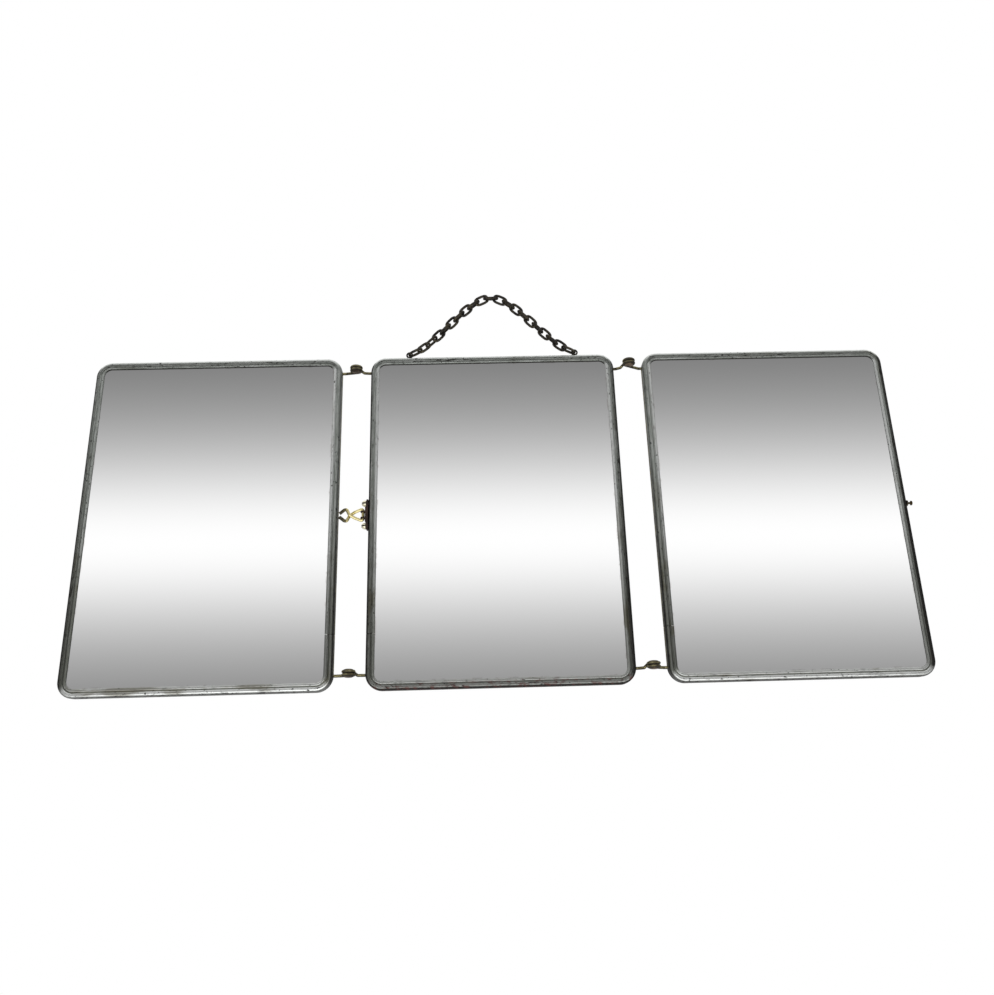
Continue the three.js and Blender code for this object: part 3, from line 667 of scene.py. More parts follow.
def tube(name: str, path: Sequence[Vector], radius: Callable[[float], Pair],
         sides: int, material: Material) -> Object:
    """Makes a round wire along a path with rounded tips.

    Args:
        name: The object's name.
        path: Its points in millimetres.
        radius: Share of the length to the two radii, along the carried normal and across it.
        sides: Points round the wire.
        material: Its material.

    Returns:
        The object.
    """
    last = len(path) - 1
    tangents = [(path[min(i + 1, last)] - path[max(i - 1, 0)]).normalized()
                for i in range(last + 1)]
    guide = Vector((0, 1, 0)) if abs(tangents[0].y) < 0.9 else Vector((0, 0, 1))
    normal = (guide - tangents[0] * guide.dot(tangents[0])).normalized()
    lengths = np.cumsum([0.0] + [(b - a).length for a, b in zip(path, path[1:])])
    rings: list[list[Vector]] = []
    for i, centre in enumerate(path):
        if i:
            normal = tangents[i - 1].rotation_difference(tangents[i]) @ normal
        side = tangents[i].cross(normal)
        wide, flat = radius(lengths[i] / lengths[-1])
        turns = [2 * math.pi * j / sides for j in range(sides)]
        rings.append([centre + normal * (wide * math.cos(turn)) + side * (flat * math.sin(turn))
                      for turn in turns])
    for end, sign in ((0, -1), (last, 1)):
        base, centre = rings[end], path[end]
        added = []
        for share, shrink in TIP:
            shift = tangents[end] * (sign * share * TIP_DEPTH * (base[0] - centre).length)
            added.append([centre + (p - centre) * shrink + shift for p in base])
        rings = rings + added if sign > 0 else added[::-1] + rings
    solid = np.array([[tuple(p) for p in ring] for ring in rings])
    return make_mesh(name, *strip(solid), material, 50.0)


def lathe(name: str, profile: Sequence[Pair], steps: int,
          place: Callable[[float, float, float], Point], material: Material,
          sharp: float = 40.0, wobble: float = 0.0) -> Object:
    """Turns a profile of (radius, height) that starts and ends on the axis.

    Args:
        name: The object's name.
        profile: The profile's points in millimetres.
        steps: Points round the axis.
        place: Maps (u, v, height) to a point of the model.
        material: Its material.
        sharp: Angle above which an edge stays sharp.
        wobble: Size of hand-made unevenness, in millimetres.

    Returns:
        The object.
    """
    points = [place(0, 0, profile[0][1])]
    for index, (radius, height) in enumerate(profile[1:-1]):
        for j in range(steps):
            angle = 2 * math.pi * j / steps
            bend = math.sin(3 * angle + index) * math.cos(2 * angle + 1.7 * index)
            bent = radius + wobble * bend
            points.append(place(bent * math.cos(angle), bent * math.sin(angle), height))
    points.append(place(0, 0, profile[-1][1]))
    last = len(points) - 1
    rows = len(profile) - 2
    faces = [[0, 1 + (j + 1) % steps, 1 + j] for j in range(steps)]
    for i in range(rows - 1):
        faces += quads(1 + i * steps, 1 + (i + 1) * steps, steps)
    base = 1 + (rows - 1) * steps
    faces += [[last, base + j, base + (j + 1) % steps] for j in range(steps)]
    return make_mesh(name, np.array(points), faces, material, sharp)


def rounded(run: Sequence[Vector], radius: float, steps: int, step_length: float) -> list[Vector]:
    """Rounds a run of points and divides its straight stretches.

    Args:
        run: The points.
        radius: The bend radius.
        steps: Points in each bend.
        step_length: Longest straight step.

    Returns:
        The points of the smooth run.
    """
    path = [run[0].copy()]
    for before, corner, after in zip(run, run[1:], run[2:]):
        into, out = (corner - before).normalized(), (after - corner).normalized()
        turn = into.angle(out)
        if turn < 1e-4:
            continue
        first = corner - into * (radius * math.tan(turn / 2))
        centre = corner + (out - into).normalized() * (radius / math.cos(turn / 2))
        axis = into.cross(out).normalized()
        path += [centre + Quaternion(axis, turn * k / steps) @ (first - centre)
                 for k in range(steps + 1)]
    path.append(run[-1].copy())
    full = [path[0]]
    for one, two in zip(path, path[1:]):
        parts = max(1, math.ceil((two - one).length / step_length))
        full += [one.lerp(two, k / parts) for k in range(1, parts + 1)]
    return full


def corners(half_w: float, half_h: float, radius: float,
            steps: int) -> Iterator[tuple[float, float, float, float]]:
    """Goes round a rectangle's rounded corners, from +X towards +Z.

    Args:
        half_w: Half of the rectangle's width.
        half_h: Half of its height.
        radius: The corners' radius.
        steps: Steps in each corner.

    Yields:
        The outward normal (X, Z) and the place (X, Z) of each point.
    """
    for quarter in range(4):
        right, up = (1 if quarter in (0, 3) else -1), (1 if quarter < 2 else -1)
        for k in range(steps + 1):
            angle = math.radians(90 * (quarter + k / steps))
            x, z = math.cos(angle), math.sin(angle)
            yield (x, z, right * (half_w - radius) + radius * x,
                   up * (half_h - radius) + radius * z)


def halved(low: float, high: float, is_low: Callable[[float], bool]) -> float:
    """Searches for a value by halving.

    Args:
        low: A value that is too low.
        high: A value that is too high.
        is_low: Tells whether a value is too low.

    Returns:
        The value.
    """
    for _ in range(HALVINGS):
        middle = (low + high) / 2
        low, high = (middle, high) if is_low(middle) else (low, middle)
    return (low + high) / 2


def stand_for(piece: Object, body: str, *nodes: str) -> None:
    """Makes a piece ride on a body and take the place of CAD nodes.

    Args:
        piece: The Blender object.
        body: The body's name.
        nodes: The nodes that it replaces.
    """
    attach(piece, body)
    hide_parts(*nodes)
    LOG.info("%s rides on %s for %s", piece.name, body, ", ".join(nodes))


# ---- panels

# Outline of the rim's lip round the glass, as (inset, Y).
LIP_OUTLINE = ((7.0, -3.2), (7.02, -3.3), (6.95, -3.42), (6.5, -3.58), (6.0, -3.75), (5.6, -3.88),
               (5.35, -3.93), (5.12, -3.88), (4.9, -3.7), (4.76, -3.5), (4.66, -3.38),
               (4.52, -3.34), (4.38, -3.36))
# The back plate's pressed field, as (distance in from its edge, rise).
PRESSED_FIELD = ((0.0, 0.0), (0.6, 0.0), (6.0, 0.0), (10.0, 0.0), (11.0, 0.12), (12.5, 0.3),
                 (14.0, 0.34), (24.0, 0.36), (40.0, 0.3), (60.0, 0.2), (80.0, 0.12))


@dataclass
class Panel:
    """One framed mirror panel: rim, glass, pad and back plate."""

    side: Side
    seam: int
    tin: WornTin
    corner_steps: int = 16
    step: float = 3.0
    bead: float = 2.35
    sheet: float = 0.75
    groove_radius: float = 1.35
    rear_lip: float = 6.2
    seam_gap: float = 0.4
    seam_height: float = 44.0
    lip_start: float = 4.6
    ripple: float = 0.1
    lip_ripple: float = 0.14
    waves: int = 9
    wave_pitch: Pair = (0.02, 0.16)
    wave_phase: Pair = (0.0, 6.28)
    wave_size: Pair = (0.3, 1.0)
    plate_inset: float = 3.6
    plate_front: float = 2.2
    plate_rear: float = 3.0

    def section(self) -> np.ndarray:
        """The rim's section as (distance inward, Y), with rounded details.

        Returns:
            The closed outline.
        """
        bead_y = PANEL.front_y + self.bead

        def bead(radius: float, degrees: float) -> Pair:
            """A point on the bead's arc."""
            angle = math.radians(degrees)
            return (self.bead - radius * math.cos(angle), bead_y - radius * math.sin(angle))

        def groove(degrees: float) -> Pair:
            """A point on the rod groove's arc."""
            angle = math.radians(degrees)
            return (PANEL.groove_depth + self.groove_radius * math.cos(angle),
                    PANEL.groove_y + self.groove_radius * math.sin(angle))

        rear, inside = PANEL.rear_y, PANEL.rear_y - 0.7
        points = list(LIP_OUTLINE)
        points += [bead(self.bead, d) for d in np.linspace(140, 4, 22)]
        points += [(0, bead_y), (0, 0.2), (0.05, 0.42), (0.3, PANEL.groove_y - self.groove_radius)]
        points += [groove(d) for d in np.linspace(-90, 90, 11)]
        points += [(0.3, PANEL.groove_y + self.groove_radius), (0.06, 3.28), (0.06, 3.5),
                   (0.22, 3.82), (0.6, rear), (2.2, rear), (4.2, rear), (5.9, rear),
                   (self.rear_lip, rear - 0.1), (self.rear_lip, inside), (3.25, inside),
                   (3.25, 1.4), (2.5, 0.2), (1.5, -0.25), (self.sheet, -0.25),
                   (self.sheet, bead_y)]
        points += [bead(self.bead - self.sheet, d) for d in (22, 45, 68, 90)]
        points += [(3.5, -2.85), (4.55, -2.8), (4.9, -3.2)]
        return np.array(points)

    def stations(self) -> list[tuple[float, float, float, float]]:
        """Places round the rim from one side of the seam to the other.

        Returns:
            Outward normal (X, Z) and the point on the outer edge (X, Z) of each.
        """
        half_w, half_h = PANEL.width / 2, PANEL.height / 2
        seam_z = self.seam_height - half_h
        marks = [(1.0, 0.0, half_w, seam_z + self.seam_gap / 2),
                 *corners(half_w, half_h, PANEL.corner, self.corner_steps),
                 (1.0, 0.0, half_w, seam_z - self.seam_gap / 2)]
        full = [marks[0]]
        for one, two in zip(marks, marks[1:]):
            parts = max(1, round(math.dist(one[2:], two[2:]) / self.step))
            full += [tuple(a + (b - a) * k / parts for a, b in zip(one, two))
                     for k in range(1, parts + 1)]
        return [(self.seam * nx, nz, self.side.x + self.seam * x, PANEL.mid_z + z)
                for nx, nz, x, z in full]

    def build_rim(self) -> Object:
        """Sweeps the rim's section round, with slight waves in its front.

        Returns:
            The rim's object.
        """
        section = self.section()
        random = np.random.default_rng(11 + self.side.value)
        waves = [tuple(random.uniform(*span)
                       for span in (self.wave_pitch, self.wave_phase, self.wave_size))
                 for _ in range(self.waves)]
        rings, marks, sides = [], [], []
        run, before = 0.0, None
        for nx, nz, *spot in self.stations():
            run += math.dist(spot, before or spot)
            before = spot
            bead = sum(a * math.sin(f * run + p) for f, p, a in waves) / self.waves
            lip = sum(a * math.sin(f * 1.7 * run + 2 * p) for f, p, a in waves) / self.waves
            ring = []
            for inset, y in section:
                front = max(0.0, min(1.0, (-1.0 - y) / 2.0))
                push = self.ripple * bead if inset < self.lip_start else self.lip_ripple * lip
                ring.append((spot[0] - nx * inset, y + abs(front * push), spot[1] - nz * inset))
                marks.append((run, inset, y))
                sides.append((nx, nz, 0.0))
            rings.append(ring)
        return make_mesh(f"rim_{self.side.word}", *strip(np.array(rings)), self.tin.make(), 55.0,
                         {"rim": np.array(marks), "side": np.array(sides)})

    def build_back(self) -> Object:
        """Makes the back plate with a shallow pressed field.

        Returns:
            The plate's object.
        """
        loops = []
        for step_in, rise in PRESSED_FIELD:
            inset = self.plate_inset + step_in
            radius = max(PANEL.corner - self.plate_inset - step_in * 0.35, 2.0)
            round_trip = corners(PANEL.width / 2 - inset, PANEL.height / 2 - inset, radius, 8)
            loops.append([(self.side.x + x, self.plate_rear + rise, PANEL.mid_z + z)
                          for _, _, x, z in round_trip])
        front = [(x, self.plate_front, z) for x, _, z in loops[0]]
        return make_mesh(f"back_{self.side.word}", *strip(np.array([front] + loops)),
                         BackSheet(f"sheet_{self.side.word}").make(), 60.0)

    def build(self, frame: Frame) -> None:
        """Builds and dresses the whole panel.

        Args:
            frame: The loaded CAD frame.
        """
        word = self.side.word
        stand_for(self.build_rim(), word, f"frame_{word}")
        stand_for(self.build_back(), word, f"back_plate_{word}")
        dress(frame, f"mirror_glass_{word}", Silver(f"silver_{word}", self.side.x).make())
        dress(frame, f"card_pad_{word}", Card(f"card_{word}").make())


def dress(frame: Frame, node: str, material: Material) -> None:
    """Gives a new material to a CAD node that keeps its shape.

    Args:
        frame: The loaded CAD frame.
        node: The node's name.
        material: Its material.
    """
    redress(frame["nodes"][node].data, material)
    LOG.info("%s keeps its CAD shape", node)


# ---- hinges

# Upper half of a rivet, as (radius, height), from its head's flat to its shank.
RIVET_HALF = ((0.8, 3.38), (1.7, 3.33), (2.6, 3.2), (3.3, 2.98), (3.72, 2.78), (3.8, 2.68),
              (3.72, 2.6), (3.5, 2.58), (2.8, 2.58), (2.75, 2.5))
RIVET_TIP = 3.4


@dataclass
class Hinge:
    """One wire hinge: a straight wing rod and a cranked middle rod on two rivets."""

    name: str
    axis_x: float
    axis_y: float
    wing: str
    crank_start: float
    wire: float = 2.4
    eye: float = 4.2
    wrap: float = 286.0
    from_edge: float = 12.3
    pitch: float = 2.5
    crank: float = 3.1
    straight: float = 2.4
    bend: float = 1.7
    eye_steps: int = 44
    sides: int = 18

    def rod_path(self, towards: int, cranked: bool) -> list[Vector]:
        """The rod's line from one eye's tip to the other's.

        Args:
            towards: X direction from the hinge axis to the rod's panel.
            cranked: Whether the arms are cranked up to carry the upper eyes.

        Returns:
            The points of the rod's middle line.
        """
        level = PANEL.height / 2 - self.from_edge
        out = (PANEL.gap / 2 - self.straight, PANEL.groove_y - self.axis_y)
        tangent = math.atan2(out[1], out[0]) + math.acos(self.eye / math.hypot(*out))
        groove_x = self.axis_x + towards * (PANEL.gap / 2 + PANEL.groove_depth)

        def half(sign: int) -> tuple[list[Vector], list[Vector]]:
            """One end's eye and its arm down to the groove."""
            z = PANEL.mid_z + sign * level
            lift = self.pitch if cranked else 0.0
            angles = [tangent + math.radians(self.wrap) * i / self.eye_steps
                      for i in range(self.eye_steps, -1, -1)]
            loop = [Vector((self.axis_x + towards * self.eye * math.cos(a),
                            self.axis_y + self.eye * math.sin(a), z + lift)) for a in angles]
            knee = Vector((self.axis_x + towards * out[0], PANEL.groove_y, z))
            arm = (knee - loop[-1]).xy.normalized().to_3d()
            run = [loop[-1]]
            if cranked:
                run.append(loop[-1] + arm * self.crank_start)
                foot = loop[-1] + arm * (self.crank_start + self.crank)
                run.append(foot - Vector((0, 0, lift)))
            return loop[:-1], [*run, knee, Vector((groove_x, PANEL.groove_y, z))]

        (top, top_run), (bottom, bottom_run) = half(1), half(-1)
        return top + rounded(top_run + bottom_run[::-1], self.bend, 8, 6.0) + bottom[::-1]

    def build(self, wire: Material, iron: Material) -> None:
        """Builds both rods and both rivets.

        Args:
            wire: Finish of the rods.
            iron: Finish of the rivets.
        """
        sign = -1 if self.name == "left" else 1
        for rod, body, towards, cranked in ((self.wing, self.name, sign, False),
                                            (f"centre_{self.name}", "centre", -sign, True)):
            made = tube(f"rod_{rod}", self.rod_path(towards, cranked),
                        lambda share: (self.wire / 2, self.wire / 2), self.sides, wire)
            stand_for(made, body, f"hinge_rod_{rod}")
        lower = [(radius, -height) for radius, height in reversed(RIVET_HALF)]
        profile = [(0, RIVET_TIP), *RIVET_HALF, *lower, (0, -RIVET_TIP)]
        for word, end in (("top", 1), ("bottom", -1)):
            z = PANEL.mid_z + end * (PANEL.height / 2 - self.from_edge) + self.pitch / 2
            rivet = lathe(f"rivet_{self.name}_{word}", profile, 32,
                          lambda u, v, h, z=z: (self.axis_x + u, self.axis_y + v, z + h),
                          iron, 50.0, 0.06)
            stand_for(rivet, "centre", f"hinge_rivet_{self.name}_{word}")


# ---- clasp and stud


@dataclass
class Clasp:
    """The spring clasp: base plate, two screws and the crossed wire."""

    wall: float = -105.0
    axis_gap: float = 4.5
    axis_y: float = -1.0
    plate_gap: float = 0.25
    plate: float = 1.3
    wire: float = 2.5
    bend: float = 1.4
    bar: float = 5.3
    crossing: float = 11.1
    offset: float = 1.35
    jaw: float = 4.7
    jaw_near: float = 13.3
    jaw_far: float = 15.2
    reach: float = 19.2
    tip: float = 1.45
    screw_z: float = 9.6
    screw_y: float = -1.0
    head_radius: float = 2.7
    head_height: float = 4.0
    head_wall: float = 0.6
    slot_width: float = 0.9
    slot_depth: float = 3.0

    def wire_path(self) -> list[Vector]:
        """The clasp wire's line from one jaw tip to the other."""
        def arm(sign: int) -> list[Vector]:
            """One arm from its jaw tip to the bar's end."""
            rows = [(self.reach, -self.tip, 0), (self.jaw_far, -self.jaw, 0),
                    (self.jaw_near, -self.jaw, 0.45), (self.crossing, 0, self.offset),
                    (self.crossing - 4.5, 2.7, 0.5), (0, self.bar, 0)]
            return [Vector((self.wall - self.axis_gap - reach, self.axis_y + sign * aside,
                            PANEL.mid_z + sign * z)) for reach, z, aside in rows]
        return rounded(arm(1) + arm(-1)[::-1], self.bend, 7, 0.8)

    def build_screw(self, word: str, sign: int) -> Object:
        """Makes one slotted screw.

        Args:
            word: Its place, top or bottom.
            sign: 1 for the top screw.

        Returns:
            The screw's object.
        """
        seat = self.wall - self.plate_gap - self.plate - 0.25
        z = PANEL.mid_z + sign * self.screw_z
        round_height = self.head_height - self.head_wall
        dome = [(self.head_radius * math.cos(math.radians(a)),
                 self.head_wall + round_height * math.sin(math.radians(a)))
                for a in range(84, -1, -7)]
        profile = [(0, self.head_height), *dome, (self.head_radius, 0.1),
                   (self.head_radius - 0.08, 0), (1.1, 0), (1.1, -4.7), (0.6, -5.3), (0, -5.3)]
        screw = lathe(f"screw_{word}", profile, 48,
                      lambda u, v, h: (seat - h, self.screw_y + u, z + v),
                      ScrewHead(f"cream_{word}", z).make())
        data = bpy.data.meshes.new("slot")
        size = Vector((2 * self.slot_depth, 6.5, self.slot_width)) * MM
        middle = Vector((seat - self.head_height, self.screw_y, z)) * MM
        with edited(data) as work:
            bmesh.ops.create_cube(work, size=1.0)
            bmesh.ops.scale(work, vec=size, verts=work.verts)
            bmesh.ops.translate(work, vec=middle, verts=work.verts)
        cutter = put("slot", data)
        cut = screw.modifiers.new("slot", "BOOLEAN")
        cut.object, cut.operation, cut.solver = cutter, "DIFFERENCE", "EXACT"
        made = baked(screw, f"screw_{word}")
        bpy.data.objects.remove(cutter)
        made.data.set_sharp_from_angle(angle=math.radians(40))
        return made

    def build_plate(self, frame: Frame, iron: Material) -> Object:
        """Makes the base plate: the CAD shape with its edges broken.

        Args:
            frame: The loaded CAD frame.
            iron: Its finish.

        Returns:
            The plate's object.
        """
        data = frame["nodes"]["clasp_base_plate"].data.copy()
        with edited(data) as work:
            bmesh.ops.remove_doubles(work, verts=work.verts, dist=1e-6)
            bmesh.ops.dissolve_limit(
                work, angle_limit=math.radians(1), verts=work.verts, edges=work.edges)
        redress(data, iron)
        plate = put("clasp_plate", data)
        bevel = plate.modifiers.new("edges", "BEVEL")
        bevel.width, bevel.segments, bevel.limit_method = 0.12 * MM, 2, "ANGLE"
        bevel.angle_limit = math.radians(40)
        made = baked(plate, "clasp_plate")
        shade(made.data, 35.0)
        return made

    def build(self, frame: Frame, brass: Material, iron: Material) -> None:
        """Builds the clasp.

        Args:
            frame: The loaded CAD frame.
            brass: Finish of the wire.
            iron: Finish of the base plate.
        """
        def radius(share: float) -> Pair:
            """Wire radii: a little fuller in the jaws."""
            jaw = max(0.0, 1 - min(share, 1 - share) / 0.2)
            return (self.wire / 2 * (1 + 0.08 * jaw), self.wire / 2 * (1 + 0.14 * jaw))

        wire = tube("clasp_wire", self.wire_path(), radius, 18, brass)
        stand_for(wire, "clasp", "clasp_spring_wire")
        for word, sign in (("top", 1), ("bottom", -1)):
            stand_for(self.build_screw(word, sign), "centre", f"clasp_screw_{word}")
        stand_for(self.build_plate(frame, iron), "centre", "clasp_base_plate")


@dataclass
class CatchStud:
    """The stud on the right panel's outer edge that the clasp closes over."""

    wall: float = 340.0
    gap: float = 0.25
    y: float = -0.8
    neck: float = 3.7

    def build(self, brass: Material) -> None:
        """Builds the stud.

        Args:
            brass: Its finish.
        """
        head = [(2.0 * math.cos(math.radians(a)), self.neck + 0.6 + 0.9 * math.sin(math.radians(a)))
                for a in range(82, -43, -8)]
        collar = [(1.0, 1.22), (2.2, 1.1), (2.45, 0.95), (2.5, 0.7), (2.5, 0.05), (2.45, 0.0)]
        profile = [(0, self.neck + 1.5), *head, (0.95, self.neck), (0.9, self.neck - 0.2),
                   (0.9, 1.4), *collar, (0.9, 0.0), (0.9, -3.0), (0, -3.0)]
        seat = self.wall + self.gap
        stud = lathe("stud", profile, 40,
                     lambda u, v, h: (seat + h, self.y + u, PANEL.mid_z + v), brass, 45.0, 0.03)
        stand_for(stud, "right", "catch_stud")


# ---- chain


@dataclass
class Chain:
    """The hanging chain and its two eyes in the middle frame's top."""

    y: float = -0.75
    links_a_side: int = 10
    wire: float = 2.3
    width: float = 8.4
    oval: float = 3.0
    left_rolls: tuple[float, ...] = (20, 18, 5, 26, 4, 20, 2, 10, -10, -16, -4)
    right_rolls: tuple[float, ...] = (20, 16, 5, 26, 6, 24, 8, 21, 11, 12, 0)
    play: float = 0.6
    anchor_x: float = 0.343 * PANEL.width
    anchor_above: float = 3.3
    rounding: float = 0.6
    eye_wire: float = 1.5
    eye_radius: float = 2.3
    eye_above: float = 3.2
    eye_stem: float = 3.2
    nail_play: float = 0.1
    sides: int = 14
    pitch: float = field(default=7.5, init=False)

    @property
    def apex_z(self) -> float:
        """Height of the apex link's middle line, whose lower bar rests on the nail."""
        lean = (self.width - self.wire) / 2 * math.sin(math.radians(self.left_rolls[0]))
        return self.wire / 2 + self.nail_play + lean

    def arch(self, share: float, pitch: float) -> Vector:
        """A point of the chain's line, from 1 at the apex link's end to 0 at the eye."""
        low = PANEL.top_z + self.anchor_above
        rise = (1 - self.rounding) * share + self.rounding * share * share * (3 - 2 * share)
        return Vector((self.anchor_x + (pitch / 2 - self.anchor_x) * share,
                       low + (self.apex_z - low) * rise))

    def shares(self, pitch: float) -> list[float]:
        """Walks down one side of the line in chords, the last one into the eye's wire.

        Args:
            pitch: The chain's pitch, and so the chords' length.

        Returns:
            The shares at which the chords start and end.
        """
        found = [1.0]
        for i in range(1, self.links_a_side + 1):
            length = pitch + ((self.play + self.wire) / 2 if i == self.links_a_side else 0.0)
            start = self.arch(found[-1], pitch)
            found.append(halved(-0.3, found[-1], lambda share, start=start, length=length: (
                self.arch(share, pitch) - start).length > length))
        return found

    def joints(self) -> list[Vector]:
        """The joints between the links of one side, and the pitch that fits them.

        Returns:
            The joints from the apex link's end to the eye.
        """
        self.pitch = halved(4.0, 12.0, lambda pitch: self.shares(pitch)[-1] > 0)
        found = [self.arch(share, self.pitch) for share in self.shares(self.pitch)]
        last = (found[-1] - found[-2]).normalized()
        found[-1] = found[-2] + last * self.pitch
        return found

    def places(self) -> list[tuple[Vector, Vector, float]]:
        """Centre, direction and roll in degrees of every link, left to right."""
        joints = self.joints()
        found = [(Vector((0, self.apex_z)), Vector((1, 0)), 90.0 - self.left_rolls[0])]
        for i, (a, b) in enumerate(zip(joints, joints[1:]), 1):
            middle, along = (a + b) / 2, (b - a).normalized()
            quarter = 90.0 * (i % 2 == 0)
            found.append((middle, along, quarter - self.right_rolls[i]))
            found.insert(0, (Vector((-middle.x, middle.y)), Vector((along.x, -along.y)),
                             quarter - self.left_rolls[i]))
        return found

    def tree(self, iron: Material) -> bpy.types.GeometryNodeTree:
        """The Geometry Nodes tree that puts a link on every point.

        Args:
            iron: The links' finish.

        Returns:
            The tree, with its sizes as named inputs.
        """
        tree = bpy.data.node_groups.new("chain_links", "GeometryNodeTree")
        sockets = tree.interface
        sockets.new_socket("Geometry", in_out="INPUT", socket_type="NodeSocketGeometry")
        for name in ("Link Length", "Link Width", "Wire Radius", "Oval Power"):
            sockets.new_socket(name, in_out="INPUT", socket_type="NodeSocketFloat")
        sockets.new_socket("Geometry", in_out="OUTPUT", socket_type="NodeSocketGeometry")
        nodes = Nodes(tree)
        entry = nodes.add("NodeGroupInput")
        x, y, _ = nodes.parts(nodes.out("GeometryNodeInputPosition"))
        power = 2 / Val(nodes, entry.outputs["Oval Power"])

        def circle(steps: int, radius: float | Socket) -> Socket:
            """A round curve."""
            return nodes.out("GeometryNodeCurvePrimitiveCircle",
                             {"Resolution": steps, "Radius": radius}, mode="RADIUS")

        def squared(value: Val, size: str) -> Val:
            """One coordinate of the oval."""
            return value.sign() * abs(value) ** power * Val(nodes, entry.outputs[size]) * 0.5

        point = nodes.out("ShaderNodeCombineXYZ", {
            0: squared(x, "Link Length"), 1: squared(y, "Link Width")})
        oval = nodes.out("GeometryNodeSetPosition", {
            "Geometry": circle(36, 1.0), "Position": point})
        link = nodes.out("GeometryNodeCurveToMesh", {
            "Curve": oval, "Profile Curve": circle(self.sides, entry.outputs["Wire Radius"])})
        turn = nodes.out("GeometryNodeInputNamedAttribute", {"Name": "turn"},
                         data_type="FLOAT_VECTOR")
        copies = nodes.out("GeometryNodeInstanceOnPoints", {
            "Points": entry.outputs["Geometry"], "Instance": link,
            "Rotation": nodes.out("FunctionNodeEulerToRotation", {0: turn})})
        real = nodes.out("GeometryNodeRealizeInstances", {0: copies})
        smooth = nodes.out("GeometryNodeSetShadeSmooth", {0: real})
        dressed = nodes.out("GeometryNodeSetMaterial", {"Geometry": smooth, "Material": iron})
        nodes.add("NodeGroupOutput", {0: dressed})
        return tree

    def build_links(self, iron: Material) -> Object:
        """Makes all the links as one mesh.

        Args:
            iron: Their finish.

        Returns:
            The chain's object.
        """
        places = self.places()
        data = bpy.data.meshes.new("chain")
        spots = [(centre.x * MM, self.y * MM, centre.y * MM) for centre, _, _ in places]
        data.from_pydata(spots, [], [])
        turns = []
        for _, along, roll in places:
            forward = Vector((along.x, 0, along.y))
            across = Vector((-along.y, 0, along.x))
            basis = Matrix((forward, across, forward.cross(across))).transposed()
            turned = basis @ Matrix.Rotation(-math.radians(roll), 3, "X")
            turns.append(tuple(turned.to_euler("XYZ")))
        layer = data.attributes.new("turn", "FLOAT_VECTOR", "POINT")
        layer.data.foreach_set("vector", np.array(turns, dtype=np.float32).ravel())
        source = put("chain_points", data)
        modifier = source.modifiers.new("links", "NODES")
        modifier.node_group = self.tree(iron)
        sizes = {"Link Length": (self.pitch + self.play + self.wire) * MM,
                 "Link Width": (self.width - self.wire) * MM, "Wire Radius": self.wire / 2 * MM,
                 "Oval Power": self.oval}
        for item in modifier.node_group.interface.items_tree:
            if item.name in sizes:
                modifier[item.identifier] = sizes[item.name]
        made = baked(source, "chain")
        redress(made.data, iron)
        outward(made.data)
        return made

    def build_eye(self, sign: int, iron: Material) -> Object:
        """Makes one eye: a stem that rises and curls round.

        Args:
            sign: -1 for the left eye.
            iron: Its finish.

        Returns:
            The eye's object.
        """
        x, z = sign * self.anchor_x, PANEL.top_z + self.eye_above
        ring = [Vector((x + self.eye_radius * math.cos(a), self.y,
                        z + self.eye_radius * math.sin(a)))
                for a in np.radians(np.linspace(-90, 262, 44))]
        heights = (PANEL.top_z - self.eye_stem, PANEL.top_z - 0.6, z - self.eye_radius - 0.5)
        path = [*[Vector((x, self.y, height)) for height in heights], *ring[1:]]
        return tube(f"eye_{'left' if sign < 0 else 'right'}", path,
                    lambda share: (self.eye_wire / 2, self.eye_wire / 2), 16, iron)

    def build(self, iron: Material) -> None:
        """Builds the chain and its eyes.

        Args:
            iron: Their finish.
        """
        links = [f"chain_link_{i:02d}" for i in range(1, 2 * self.links_a_side + 2)]
        stand_for(self.build_links(iron), "chain", *links)
        for sign, word in ((-1, "left"), (1, "right")):
            stand_for(self.build_eye(sign, iron), "centre", f"chain_eye_{word}")


# ---- stage


